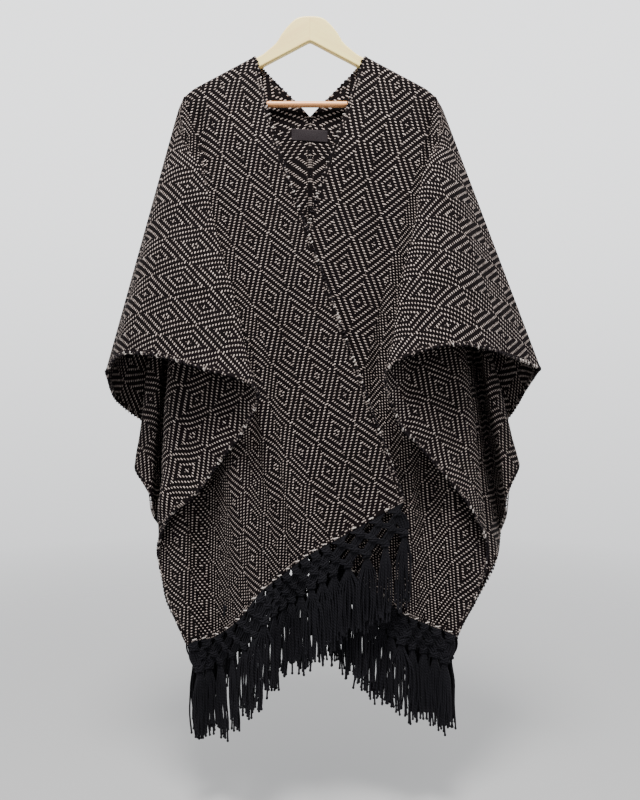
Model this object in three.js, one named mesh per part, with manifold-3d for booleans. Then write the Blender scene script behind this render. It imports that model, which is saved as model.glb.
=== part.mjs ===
// A handwoven poncho with an open, overlapped front, hung on a wooden hanger with a trouser bar.
// Millimetres, +Z up, +X to the viewer's right, the front faces -Y.
// The origin is the middle of the hanger's top edge, where it is held.

import * as THREE from 'three';
import { mergeVertices } from 'three/addons/utils/BufferGeometryUtils.js';
import Module from 'manifold-3d';

const wasm = await Module();
wasm.setup();

const RADIANS = Math.PI / 180;

// Cloth: two straight loom panels, each laid over one arm of the hanger and sewn down the back
const PANEL_WIDTH = 660;
const HALF_LENGTH = 850;
const WALL = 2.5;
const SEAM_GAP = 0.3;

// Hanger
const ARM_START_X = 84;
const ARM_START_Z = -68;
const ARM_SLOPE = 28 * RADIANS;
const ARM_THICK = 12;
const ARM_TIP_X = 220;
const HANGER_ROUNDING = 3;
const BAR_RADIUS = 5.5;
const BAR_Z = -157;
const BAR_HALF_LENGTH = 208;
const SOCKET_CLEARANCE = 0.3;

// Where a panel rests on its arm: its inner edge, the length that the arm carries, and its bend over the arm
const REST_X = 97;
const SHOULDER = 148;
const BEND_RADIUS = 8.8;
const BEND_LENGTH = BEND_RADIUS * Math.PI / 2;
const SLEEVE_WIDTH = PANEL_WIDTH - SHOULDER;

// Folds open from the shoulder tip: closed up to the first radius, full from the second
const FOLD_START = 25;
const FOLD_FULL = 170;
const NARROW_BULGE = 0.12;

const FRINGE = {
  bundles: 18, netRows: 3, rowDrop: 19, strip: 6, knotHalfWidth: 3, knotHalfHeight: 3.6,
  lockLength: 126, lockWidth: 8, lockShoulder: 24, thick: 2.8,
  inPlane: 50, sway: 4, swayLength: 57, gather: 13, gatherLength: 45,
};

// How far below a hem its fringe starts: more where folds bring the cloth's edge lower beside it
const FRINGE_DROPS = { leftFront: 1.5, rightFront: 1, leftBack: 2.3, rightBack: 2 };

const LABEL = { left: -34, right: 32, top: -198, bottom: -219, thick: 1.2, gap: 0.3, slack: 0.25, tilt: 0.06 };

// Inner edge of each layer below the arm: length along the cloth from the shoulder, then its place.
// Out is the distance from the middle of the poncho, and is less than 0 past the middle.
const INNER_EDGES = {
  leftFront: [
    { along: 0.08, out: 80, y: -12, z: -150 },
    { along: 0.2, out: 50, y: -21, z: -258 },
    { along: 1, out: -167, y: -36, z: -866 },
  ],
  rightFront: [
    { along: 0.08, out: 71, y: -10, z: -150 },
    { along: 0.26, out: 16, y: -12, z: -312 },
    { along: 1, out: -146, y: -12, z: -880 },
  ],
  leftBack: [
    { along: 0.05, out: 73, y: 10, z: -102 },
    { along: 0.13, out: 8, y: 13.4, z: -166 },
    { along: 0.142, out: 0.5, y: 14, z: -176 },
    { along: 0.2, out: 0.5, y: 16, z: -226 },
    { along: 1, out: 0.5, y: 50, z: -909 },
  ],
  rightBack: [
    { along: 0.05, out: 73, y: 10, z: -102 },
    { along: 0.13, out: 8, y: 13.4, z: -166 },
    { along: 0.142, out: 0.5, y: 14, z: -176 },
    { along: 0.2, out: 0.5, y: 16, z: -226 },
    { along: 1, out: 0.5, y: 50, z: -909 },
  ],
};

// Folds of the part that hangs from the shoulder tip: edge is the distance round the cut edge from the
// middle of the cuff, down the selvedge and then in along the hem to below the shoulder tip.
const FOLDS = {
  leftFront: [
    { edge: 0, out: 369, y: 5, z: -640 },
    { edge: 70, out: 328, y: -45, z: -610 },
    { edge: 150, out: 249, y: -85, z: -617 },
    { edge: 215, out: 181, y: -102, z: -637 },
    { edge: 284, out: 88, y: -100, z: -672 },
    { edge: 350, out: 110, y: -74, z: -737 },
    { edge: 430, out: 156, y: -58, z: -798 },
    { edge: 500, out: 203, y: -38, z: -859 },
    { edge: 545, out: 243, y: -22, z: -891 },
    { edge: 590, out: 268, y: -2, z: -932 },
    { edge: 660, out: 276, y: 16, z: -982 },
    { edge: 740, out: 254, y: 8, z: -1058 },
    { edge: 850, out: 220, y: -10, z: -1127 },
    { edge: 930, out: 173, y: 10, z: -1118 },
    { edge: 1010, out: 122, y: -40, z: -1072 },
    { edge: 1090, out: 85, y: -60, z: -1020 },
    { edge: 1180, out: 50, y: -22, z: -1000 },
    { edge: 1270, out: 10, y: -38, z: -966 },
    { edge: 1362, out: -36, y: -30, z: -941 },
  ],
  rightFront: [
    { edge: 0, out: 416, y: 5, z: -633 },
    { edge: 70, out: 356, y: -40, z: -616 },
    { edge: 150, out: 292, y: -80, z: -602 },
    { edge: 215, out: 222, y: -100, z: -600 },
    { edge: 284, out: 128, y: -100, z: -642 },
    { edge: 350, out: 152, y: -76, z: -728 },
    { edge: 430, out: 186, y: -60, z: -766 },
    { edge: 500, out: 243, y: -40, z: -830 },
    { edge: 560, out: 286, y: -24, z: -883 },
    { edge: 610, out: 315, y: -4, z: -938 },
    { edge: 680, out: 322, y: 14, z: -977 },
    { edge: 760, out: 298, y: 4, z: -1047 },
    { edge: 850, out: 263, y: -10, z: -1112 },
    { edge: 930, out: 213, y: 3, z: -1094 },
    { edge: 1010, out: 168, y: -18, z: -1070 },
    { edge: 1090, out: 135, y: 2, z: -1046 },
    { edge: 1180, out: 99, y: -8, z: -1020 },
    { edge: 1270, out: 63, y: 3, z: -988 },
    { edge: 1362, out: 14, y: -5, z: -950 },
  ],
  leftBack: [
    { edge: 0, out: 369, y: 5, z: -640 },
    { edge: 90, out: 364, y: 62, z: -692 },
    { edge: 180, out: 305, y: 106, z: -742 },
    { edge: 270, out: 225, y: 118, z: -775 },
    { edge: 350, out: 272, y: 92, z: -800 },
    { edge: 430, out: 327, y: 58, z: -814 },
    { edge: 490, out: 298, y: 32, z: -858 },
    { edge: 560, out: 296, y: 60, z: -905 },
    { edge: 630, out: 284, y: 104, z: -950 },
    { edge: 700, out: 276, y: 54, z: -1000 },
    { edge: 775, out: 266, y: 40, z: -1064 },
    { edge: 850, out: 237, y: 66, z: -1138 },
    { edge: 935, out: 216, y: 92, z: -1120 },
    { edge: 1020, out: 196, y: 60, z: -1094 },
    { edge: 1104, out: 178, y: 46, z: -1066 },
    { edge: 1195, out: 164, y: 70, z: -1038 },
    { edge: 1280, out: 150, y: 84, z: -1004 },
    { edge: 1362, out: 132, y: 64, z: -968 },
  ],
  rightBack: [
    { edge: 0, out: 416, y: 5, z: -633 },
    { edge: 90, out: 408, y: 65, z: -668 },
    { edge: 180, out: 378, y: 104, z: -730 },
    { edge: 270, out: 300, y: 118, z: -775 },
    { edge: 350, out: 342, y: 92, z: -798 },
    { edge: 430, out: 388, y: 56, z: -810 },
    { edge: 490, out: 366, y: 32, z: -856 },
    { edge: 560, out: 368, y: 62, z: -906 },
    { edge: 630, out: 368, y: 104, z: -946 },
    { edge: 700, out: 346, y: 56, z: -996 },
    { edge: 775, out: 308, y: 40, z: -1060 },
    { edge: 850, out: 281, y: 68, z: -1132 },
    { edge: 935, out: 256, y: 94, z: -1116 },
    { edge: 1020, out: 232, y: 60, z: -1094 },
    { edge: 1110, out: 210, y: 40, z: -1062 },
    { edge: 1195, out: 188, y: 72, z: -1038 },
    { edge: 1280, out: 166, y: 86, z: -1004 },
    { edge: 1362, out: 136, y: 64, z: -968 },
  ],
};

// Mesh steps: share of a ray or of the body's length, bends round the arm, and steps across the body
const LENGTH_STEPS = [0, 0.03, 0.08, 0.142, 0.2, 0.34, 0.56, 0.78, 1];
const BEND_STEPS = 4;
const BODY_STEPS = 6;
const FOLD_SUBSTEPS = 2;

const vector = (x, y, z) => new THREE.Vector3(x, y, z);
const mix = (from, to, share) => from + (to - from) * share;

function smoothStep(low, high, value) {
  const share = THREE.MathUtils.clamp((value - low) / (high - low), 0, 1);
  return share * share * (3 - 2 * share);
}

// A smooth curve through rows of { at, point }, with the slope at each row from its neighbours
function curveThrough(rows) {
  const slopes = rows.map((row, i) => {
    const before = rows[Math.max(i - 1, 0)];
    const after = rows[Math.min(i + 1, rows.length - 1)];
    return after.point.clone().sub(before.point).divideScalar(after.at - before.at);
  });
  return (at) => {
    let i = 0;
    while (i < rows.length - 2 && at > rows[i + 1].at) i += 1;
    const [from, to] = [rows[i], rows[i + 1]];
    const span = to.at - from.at;
    const t = THREE.MathUtils.clamp((at - from.at) / span, 0, 1);
    return from.point.clone().multiplyScalar((1 + 2 * t) * (1 - t) ** 2)
      .addScaledVector(slopes[i], span * t * (1 - t) ** 2)
      .addScaledVector(to.point, t * t * (3 - 2 * t))
      .addScaledVector(slopes[i + 1], span * t * t * (t - 1));
  };
}

// The middle of the bend over the arm, at a share of the shoulder from the neck to the tip
function bendCentre(share) {
  const x = REST_X + SHOULDER * share * Math.cos(ARM_SLOPE);
  const top = ARM_START_Z - (x - ARM_START_X) * Math.tan(ARM_SLOPE);
  const half = ARM_THICK / 2;
  return vector(x - half * Math.sin(ARM_SLOPE), 0, top - half * Math.cos(ARM_SLOPE));
}

// A point of the bend: turn is 0 on top of the arm and 1 where a layer starts to hang, face is -1 in front
function bendPoint(share, turn, face) {
  const angle = turn * Math.PI / 2;
  const up = BEND_RADIUS * Math.cos(angle);
  return bendCentre(share).add(
    vector(up * Math.sin(ARM_SLOPE), face * BEND_RADIUS * Math.sin(angle), up * Math.cos(ARM_SLOPE)));
}

// Where a fold row lies on the cut cloth, seen from the shoulder tip: how far out and how far down
function cutPoint(edge) {
  const down = Math.min(edge, HALF_LENGTH);
  return { out: SLEEVE_WIDTH - (edge - down), down };
}

// One layer, front or back, of one panel: its place for any point of the cut cloth
function makeLayer(name) {
  const face = name.endsWith('Front') ? -1 : 1;
  const inner = curveThrough([
    { at: 0, point: bendPoint(0, 1, face) },
    ...INNER_EDGES[name].map((row) => ({ at: row.along, point: vector(row.out, row.y, row.z) })),
  ]);
  const rays = FOLDS[name].map((row) => {
    const cut = cutPoint(row.edge);
    const turn = Math.atan2(cut.down, cut.out);
    const reach = Math.hypot(cut.down, cut.out);
    const start = bendPoint(1, turn / (Math.PI / 2), face);
    const end = vector(row.out, row.y, row.z);
    return { edge: row.edge, at: turn, point: end.sub(start).divideScalar(reach) };
  });
  const folded = curveThrough(rays);
  const first = rays[0].point;
  const last = rays[rays.length - 1].point;

  // A point of the part outside the shoulder tip: the edge distance of its ray, and its share of that ray
  const sleeve = (edge, share) => {
    const cut = cutPoint(edge);
    const turn = Math.atan2(cut.down, cut.out);
    const quarter = turn / (Math.PI / 2);
    const radius = share * Math.hypot(cut.down, cut.out);
    const narrow = first.clone().lerp(last, quarter);
    narrow.y += face * NARROW_BULGE * Math.sin(Math.PI * quarter);
    const direction = narrow.lerp(folded(turn), smoothStep(FOLD_START, FOLD_FULL, radius));
    return bendPoint(1, quarter, face).addScaledVector(direction, radius);
  };

  // A point of the part between the inner edge and the line below the shoulder tip
  const hemEnd = SLEEVE_WIDTH + HALF_LENGTH;
  const body = (across, share) => inner(share).lerp(sleeve(hemEnd, share), across);

  return { name, face, rays, sleeve, body, hemEnd };
}

// Collects faces of a cloth's middle surface, joining points that are the same
class Sheet {
  constructor() {
    this.points = [];
    this.faces = [];
    this.index = new Map();
  }

  point(p) {
    const key = [p.x, p.y, p.z].map((value) => Math.round(value * 1000)).join();
    if (!this.index.has(key)) {
      this.index.set(key, this.points.length);
      this.points.push(p.clone());
    }
    return this.index.get(key);
  }

  quad(a, b, c, d) {
    const ring = [a, b, c, d].map((p) => this.point(p));
    for (const face of [[ring[0], ring[1], ring[2]], [ring[0], ring[2], ring[3]]]) {
      if (new Set(face).size === 3) this.faces.push(face);
    }
  }

  grid(rows, flip) {
    for (let i = 0; i + 1 < rows.length; i += 1) {
      for (let j = 0; j + 1 < rows[i].length; j += 1) {
        const ring = [rows[i][j], rows[i][j + 1], rows[i + 1][j + 1], rows[i + 1][j]];
        this.quad(...(flip ? ring.reverse() : ring));
      }
    }
  }

  // A closed wall of one thickness on both sides of the middle surface
  thicken(thick, clamp = (p) => p) {
    const count = this.points.length;
    const normals = this.points.map(() => vector(0, 0, 0));
    const edges = new Map();
    for (const face of this.faces) {
      const [a, b, c] = face.map((i) => this.points[i]);
      const normal = b.clone().sub(a).cross(c.clone().sub(a)).normalize();
      face.forEach((i, k) => {
        const p = this.points[i];
        const one = this.points[face[(k + 1) % 3]].clone().sub(p);
        const two = this.points[face[(k + 2) % 3]].clone().sub(p);
        normals[i].addScaledVector(normal, one.angleTo(two));
        edges.set(`${i},${face[(k + 1) % 3]}`, true);
      });
    }
    const side = (sign) => this.points.map((p, i) => (
      clamp(p.clone().addScaledVector(normals[i].clone().normalize(), sign * thick / 2))));
    const positions = [...side(1), ...side(-1)].flatMap((p) => [p.x, p.y, p.z]);
    const triangles = [];
    for (const [a, b, c] of this.faces) {
      triangles.push(a, b, c, a + count, c + count, b + count);
    }
    for (const key of edges.keys()) {
      const [a, b] = key.split(',').map(Number);
      if (!edges.has(`${b},${a}`)) {
        triangles.push(b, a, a + count, b, a + count, b + count);
      }
    }
    const geometry = new THREE.BufferGeometry();
    geometry.setAttribute('position', new THREE.Float32BufferAttribute(positions, 3));
    geometry.setIndex(triangles);
    return geometry;
  }
}

// The edge distances at which a layer's rays are drawn
function rayEdges(layer) {
  const edges = [];
  for (let i = 0; i + 1 < layer.rays.length; i += 1) {
    for (let k = 0; k < FOLD_SUBSTEPS; k += 1) {
      edges.push(mix(layer.rays[i].edge, layer.rays[i + 1].edge, k / FOLD_SUBSTEPS));
    }
  }
  return [...edges, layer.hemEnd];
}

// A point of the cloth on one side of the poncho: side is -1 on the left and 1 on the right
const place = (side, p) => vector(side * p.x, p.y, p.z);

function makePanel(side, frontName, backName) {
  const sheet = new Sheet();
  for (const layer of [makeLayer(frontName), makeLayer(backName)]) {
    const flip = side * layer.face > 0;
    const bendRows = [];
    const bodyRows = [];
    for (let i = 0; i <= BODY_STEPS; i += 1) {
      const across = i / BODY_STEPS;
      const turns = Array.from({ length: BEND_STEPS + 1 }, (_, k) => k / BEND_STEPS);
      bendRows.push(turns.map((turn) => place(side, bendPoint(across, turn, layer.face))));
      bodyRows.push(LENGTH_STEPS.map((share) => place(side, layer.body(across, share))));
    }
    sheet.grid(bendRows, flip);
    sheet.grid(bodyRows, flip);
    const sleeveRows = rayEdges(layer).map((edge) => {
      const cut = cutPoint(edge);
      const quarter = Math.atan2(cut.down, cut.out) / (Math.PI / 2);
      const onBend = Math.round(quarter * BEND_STEPS) / BEND_STEPS;
      return LENGTH_STEPS.map((share) => place(side, (
        share === 0 ? bendPoint(1, onBend, layer.face) : layer.sleeve(edge, share))));
    });
    sheet.grid(sleeveRows, !flip);
  }
  const seam = (SEAM_GAP / 2);
  return sheet.thicken(WALL, (p) => {
    const inBack = p.y > BEND_RADIUS;
    if (inBack && side * p.x < seam) p.x = side * seam;
    return p;
  });
}

// The hem of a layer from the selvedge corner to the inner corner, by distance along the cut hem.
// It is straight between the same points as the panel's mesh, and what hangs from it carries the cloth on.
function makeHem(side, name) {
  const layer = makeLayer(name);
  const above = LENGTH_STEPS[LENGTH_STEPS.length - 2];
  const stopAt = (along, point, before) => ({ along, point, fall: point.clone().sub(before).normalize() });
  const stops = rayEdges(layer).filter((edge) => edge >= HALF_LENGTH)
    .map((edge) => stopAt(edge - HALF_LENGTH, layer.sleeve(edge, 1), layer.sleeve(edge, above)));
  for (let i = BODY_STEPS - 1; i >= 0; i -= 1) {
    const across = i / BODY_STEPS;
    const along = SLEEVE_WIDTH + SHOULDER * (1 - across);
    stops.push(stopAt(along, layer.body(across, 1), layer.body(across, above)));
  }
  const at = (along, inPlane, below) => {
    let i = 0;
    while (i < stops.length - 2 && along > stops[i + 1].along) i += 1;
    const share = (along - stops[i].along) / (stops[i + 1].along - stops[i].along);
    const fall = stops[i].fall.clone().lerp(stops[i + 1].fall, share);
    const p = stops[i].point.clone().lerp(stops[i + 1].point, share).addScaledVector(fall, inPlane);
    p.z -= below;
    return place(side, p);
  };
  return { at, corners: stops.map((stop) => stop.along) };
}

// A knotted net below a hem, with two tapered locks of yarn from each knot of its last row
function makeFringe(side, name) {
  const hem = makeHem(side, name);
  const sheet = new Sheet();
  const top = FRINGE_DROPS[name];
  const end = PANEL_WIDTH - SEAM_GAP - FRINGE.thick / 2;
  const pitch = (end - FRINGE.thick) / FRINGE.bundles;
  const flip = name.endsWith('Back') ? side > 0 : side < 0;
  const at = (along, down) => {
    const kept = THREE.MathUtils.clamp(along, FRINGE.thick / 2, end);
    const inPlane = Math.min(down, FRINGE.inPlane);
    const below = down - inPlane;
    const sway = FRINGE.sway * Math.sin(kept / FRINGE.swayLength) * below / FRINGE.lockLength;
    const nearSelvedge = Math.exp(-((kept / FRINGE.gatherLength) ** 2));
    const gather = side * FRINGE.gather * smoothStep(5, 60, down) * nearSelvedge;
    return hem.at(kept, inPlane, below).add(vector(sway - gather, 0, 0));
  };
  const quad = (a, b, c, d) => sheet.quad(...(flip ? [a, b, c, d] : [d, c, b, a]));
  const { knotHalfWidth: w, knotHalfHeight: h } = FRINGE;
  const firstRow = top + FRINGE.strip + h;
  const offCorner = (along) => {
    const near = hem.corners.find((corner) => Math.abs(corner - along) < w + 1.2);
    return near === undefined ? along : near + Math.sign(along - near) * (w + 1.2);
  };
  const knotAt = (column, row) => {
    const along = FRINGE.thick / 2 + pitch * (column + (row % 2 === 0 ? 0.5 : 1));
    return { along: row === 0 ? offCorner(along) : along, down: firstRow + row * FRINGE.rowDrop };
  };
  const columns = (row) => FRINGE.bundles - (row % 2);

  // The strip under the hem, in lengths that meet the first row of knots and the corners of the hem
  const knots = Array.from({ length: FRINGE.bundles }, (_, column) => knotAt(column, 0).along);
  const free = hem.corners.filter((corner) => corner > FRINGE.thick && corner < end - 1);
  const stops = [FRINGE.thick / 2, end, ...free, ...knots.flatMap((knot) => [knot - w, knot + w])];
  stops.sort((a, b) => a - b);
  for (let i = 0; i + 1 < stops.length; i += 1) {
    quad(at(stops[i], top), at(stops[i + 1], top),
      at(stops[i + 1], top + FRINGE.strip), at(stops[i], top + FRINGE.strip));
  }

  for (let row = 0; row < FRINGE.netRows; row += 1) {
    for (let column = 0; column < columns(row); column += 1) {
      const { along, down } = knotAt(column, row);
      quad(at(along - w, down - h), at(along + w, down - h), at(along + w, down), at(along - w, down));
      const lower = [at(along + w, down), at(along + w, down + h), at(along, down + h), at(along - w, down + h)];
      quad(at(along - w, down), lower[0], lower[1], lower[2]);
      quad(at(along - w, down), lower[2], lower[3], at(along - w, down));
      if (row + 1 < FRINGE.netRows) {
        for (const reach of [-1, 1]) {
          const next = column + (row % 2 === 0 ? (reach - 1) / 2 : (reach + 1) / 2);
          if (next >= 0 && next < columns(row + 1)) {
            const to = knotAt(next, row + 1);
            const ring = [
              at(along + reach * w, down), at(to.along - reach * w, to.down - h),
              at(to.along - reach * w, to.down), at(along + reach * w, down + h)];
            quad(...(reach > 0 ? ring : ring.reverse()));
          }
        }
      }
    }
  }

  // Locks hang from the two lower halves of each last knot
  const last = FRINGE.netRows - 1;
  for (let column = 0; column < columns(last); column += 1) {
    const { along, down } = knotAt(column, last);
    for (const half of [-1, 1]) {
      const inner = along;
      const outer = along + half * w;
      const length = FRINGE.lockLength * (0.9 + 0.1 * Math.sin(column * 2.4 + half));
      const middle = along + half * (FRINGE.lockWidth / 2 + 1.2);
      const wide = FRINGE.lockWidth / 2;
      const root = down + h;
      const shoulder = root + FRINGE.lockShoulder;
      const ring = (a, b, c, d) => quad(...(half > 0 ? [a, b, c, d] : [b, a, d, c]));
      ring(at(inner, root), at(outer, root), at(middle + half * wide, shoulder), at(middle - half * wide, shoulder));
      ring(at(middle - half * wide, shoulder), at(middle + half * wide, shoulder),
        at(middle + half * wide * 0.8, root + length), at(middle - half * wide * 0.2, root + length));
    }
  }
  return sheet.thicken(FRINGE.thick);
}

// The bare label: it follows both back panels across their seam, just inside them
function makeLabel() {
  const layers = { '-1': makeLayer('leftBack'), 1: makeLayer('rightBack') };
  const inward = WALL / 2 + LABEL.gap + LABEL.slack + LABEL.thick / 2;
  const at = (x, height) => {
    const layer = layers[x < 0 ? -1 : 1];
    const z = height - LABEL.tilt * x;
    let [low, high] = [0.1, 0.4];
    let found = null;
    for (let step = 0; step < 20; step += 1) {
      const share = (low + high) / 2;
      const outer = layer.body(1, share).x;
      found = layer.body(Math.abs(x) / outer, share);
      if (found.z > z) low = share;
      else high = share;
    }
    return vector(x, found.y - inward, z);
  };
  const sheet = new Sheet();
  const rows = [LABEL.top, LABEL.bottom].map((height) => (
    [LABEL.left, LABEL.left / 2, 0, LABEL.right / 2, LABEL.right].map((x) => at(x, height))));
  sheet.grid(rows, true);
  return sheet.thicken(LABEL.thick);
}

function hangerOutline() {
  const along = (x) => ARM_START_Z - (x - ARM_START_X) * Math.tan(ARM_SLOPE);
  const shape = new THREE.Shape();
  shape.moveTo(0, 0);
  const right = [
    [22, -3], [36, -14], [50, -31], [60, -47], [73, -59], [ARM_START_X, along(ARM_START_X)],
    [ARM_TIP_X - 6, along(ARM_TIP_X - 6)], [ARM_TIP_X, along(ARM_TIP_X) - 5], [ARM_TIP_X, BAR_Z - 2],
    [ARM_TIP_X - 6, BAR_Z - 10], [ARM_TIP_X - 15, BAR_Z - 11], [ARM_TIP_X - 24, BAR_Z - 5],
    [ARM_TIP_X - 34, -144], [85, -90],
  ];
  for (const [x, z] of right) shape.lineTo(x, z);
  shape.lineTo(0, -45);
  for (const [x, z] of [...right].reverse()) shape.lineTo(-x, z);
  return shape;
}

function solidOf(geometry) {
  const bare = geometry.clone();
  bare.deleteAttribute('normal');
  bare.deleteAttribute('uv');
  const merged = mergeVertices(bare.index ? bare.toNonIndexed() : bare, 1e-4);
  return new wasm.Manifold(new wasm.Mesh({
    numProp: 3,
    vertProperties: new Float32Array(merged.attributes.position.array),
    triVerts: new Uint32Array(merged.index.array),
  }));
}

function geometryOf(solid) {
  const mesh = solid.getMesh();
  const geometry = new THREE.BufferGeometry();
  geometry.setAttribute('position', new THREE.Float32BufferAttribute(mesh.vertProperties, 3));
  geometry.setIndex(Array.from(mesh.triVerts));
  return geometry;
}

// The hanger's wood: an outline cut from board with rounded edges, and a blind socket in each end
function makeHanger() {
  const wood = new THREE.ExtrudeGeometry(hangerOutline(), {
    depth: ARM_THICK - 2 * HANGER_ROUNDING,
    bevelThickness: HANGER_ROUNDING,
    bevelSize: HANGER_ROUNDING,
    bevelOffset: -HANGER_ROUNDING,
    bevelSegments: 2,
    steps: 1,
  });
  wood.rotateX(Math.PI / 2).translate(0, ARM_THICK / 2 - HANGER_ROUNDING, 0);
  const socketLength = 2 * (BAR_HALF_LENGTH + SOCKET_CLEARANCE);
  const socket = new THREE.CylinderGeometry(
    BAR_RADIUS + SOCKET_CLEARANCE, BAR_RADIUS + SOCKET_CLEARANCE, socketLength, 20);
  socket.rotateZ(Math.PI / 2).translate(0, 0, BAR_Z);
  return geometryOf(solidOf(wood).subtract(solidOf(socket)));
}

function makeBar() {
  const bar = new THREE.CylinderGeometry(BAR_RADIUS, BAR_RADIUS, 2 * BAR_HALF_LENGTH, 20);
  return bar.rotateZ(Math.PI / 2).translate(0, 0, BAR_Z);
}

const MATERIALS = {
  weave: new THREE.MeshStandardMaterial({ color: '#4b4442', roughness: 0.95, metalness: 0 }),
  yarn: new THREE.MeshStandardMaterial({ color: '#15141c', roughness: 0.9, metalness: 0 }),
  label: new THREE.MeshStandardMaterial({ color: '#3e3237', roughness: 0.7, metalness: 0 }),
  wood: new THREE.MeshStandardMaterial({ color: '#ecdfb8', roughness: 0.5, metalness: 0 }),
  barWood: new THREE.MeshStandardMaterial({ color: '#d9a377', roughness: 0.45, metalness: 0 }),
};

const PIECES = [
  { name: 'panel_left', material: 'weave', geometry: makePanel(-1, 'leftFront', 'leftBack') },
  { name: 'panel_right', material: 'weave', geometry: makePanel(1, 'rightFront', 'rightBack') },
  { name: 'fringe_front_left', material: 'yarn', geometry: makeFringe(-1, 'leftFront') },
  { name: 'fringe_front_right', material: 'yarn', geometry: makeFringe(1, 'rightFront') },
  { name: 'fringe_back_left', material: 'yarn', geometry: makeFringe(-1, 'leftBack') },
  { name: 'fringe_back_right', material: 'yarn', geometry: makeFringe(1, 'rightBack') },
  { name: 'neck_label', material: 'label', geometry: makeLabel() },
  { name: 'hanger_body', material: 'wood', geometry: makeHanger() },
  { name: 'trouser_bar', material: 'barWood', geometry: makeBar() },
];

const group = new THREE.Group();
for (const { name, material, geometry } of PIECES) {
  const mesh = new THREE.Mesh(geometry, MATERIALS[material]);
  mesh.name = name;
  group.add(mesh);
}

export default group;
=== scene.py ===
import math

import bpy
import numpy as np
from bpy.props import FloatProperty, FloatVectorProperty, IntProperty, PointerProperty
from mathutils import Matrix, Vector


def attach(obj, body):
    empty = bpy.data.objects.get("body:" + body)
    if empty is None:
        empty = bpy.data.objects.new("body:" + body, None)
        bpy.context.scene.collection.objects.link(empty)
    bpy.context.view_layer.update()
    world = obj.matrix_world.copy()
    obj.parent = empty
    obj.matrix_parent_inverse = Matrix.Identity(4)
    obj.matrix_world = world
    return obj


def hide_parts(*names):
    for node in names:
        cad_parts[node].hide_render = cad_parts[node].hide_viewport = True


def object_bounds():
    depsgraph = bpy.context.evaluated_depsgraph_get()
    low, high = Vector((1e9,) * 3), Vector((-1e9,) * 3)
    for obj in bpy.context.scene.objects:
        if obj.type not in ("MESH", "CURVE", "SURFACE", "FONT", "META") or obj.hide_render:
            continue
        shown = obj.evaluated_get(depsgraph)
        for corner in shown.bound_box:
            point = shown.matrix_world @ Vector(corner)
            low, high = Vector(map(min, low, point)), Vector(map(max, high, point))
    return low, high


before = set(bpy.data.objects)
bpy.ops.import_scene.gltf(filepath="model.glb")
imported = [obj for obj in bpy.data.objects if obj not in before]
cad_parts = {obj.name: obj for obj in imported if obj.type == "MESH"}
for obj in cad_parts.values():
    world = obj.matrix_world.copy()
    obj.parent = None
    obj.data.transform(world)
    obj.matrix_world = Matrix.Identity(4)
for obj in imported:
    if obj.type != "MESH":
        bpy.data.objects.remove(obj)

bl_info = {
    "name": "Fringed Poncho",
    "version": (1, 0, 0),
    "blender": (4, 5, 0),
    "location": "3D View > Sidebar > Poncho",
    "description": "Handwoven poncho with a knotted fringe, hung on a wooden hanger",
    "category": "Add Mesh",
}

CAD_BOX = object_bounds()
MM = 0.001
FLOOR_RADIUS, FLOOR_DROP = 3.0, 0.13

# The cut of each panel and how it rests on the hanger, in millimetres
PANEL_WIDTH = 660
HALF_LENGTH = 850
SHOULDER = 148
SLEEVE_WIDTH = PANEL_WIDTH - SHOULDER
HEM_END = HALF_LENGTH + SLEEVE_WIDTH
SEAM_TOP = 130
SEAM_GAP_HALF = 0.02
BEND_RADIUS = 8.8
BEND_LENGTH = BEND_RADIUS * math.pi / 2
REST_X = 97
ARM_START_X, ARM_START_Z = 84, -68
ARM_SLOPE = math.radians(28)
ARM_HALF_THICK = 6
ARM_TIP_X = 220
BAR_Z = -157

# Distance from the shoulder tip at which folds start and are full; how far the cloth bulges, for
# each millimetre of distance, before they start
FOLD_START, FOLD_FULL = 25, 170
NARROW_BULGE = 0.12

# Inner edge of each layer: share of its hanging length, distance from the middle, y, z
BACK_INNER_EDGE = [(0.05, 73, 10, -102), (0.13, 8, 13.4, -166), (0.142, 0.5, 14, -176),
                   (0.2, 0.5, 16, -226), (1, 0.5, 50, -909)]
INNER_EDGES = {
    "left_front": [(0.08, 80, -12, -150), (0.2, 50, -21, -258), (1, -167, -36, -866)],
    "right_front": [(0.08, 71, -10, -150), (0.26, 16, -12, -312), (1, -146, -12, -880)],
    "left_back": BACK_INNER_EDGE,
    "right_back": BACK_INNER_EDGE,
}

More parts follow.
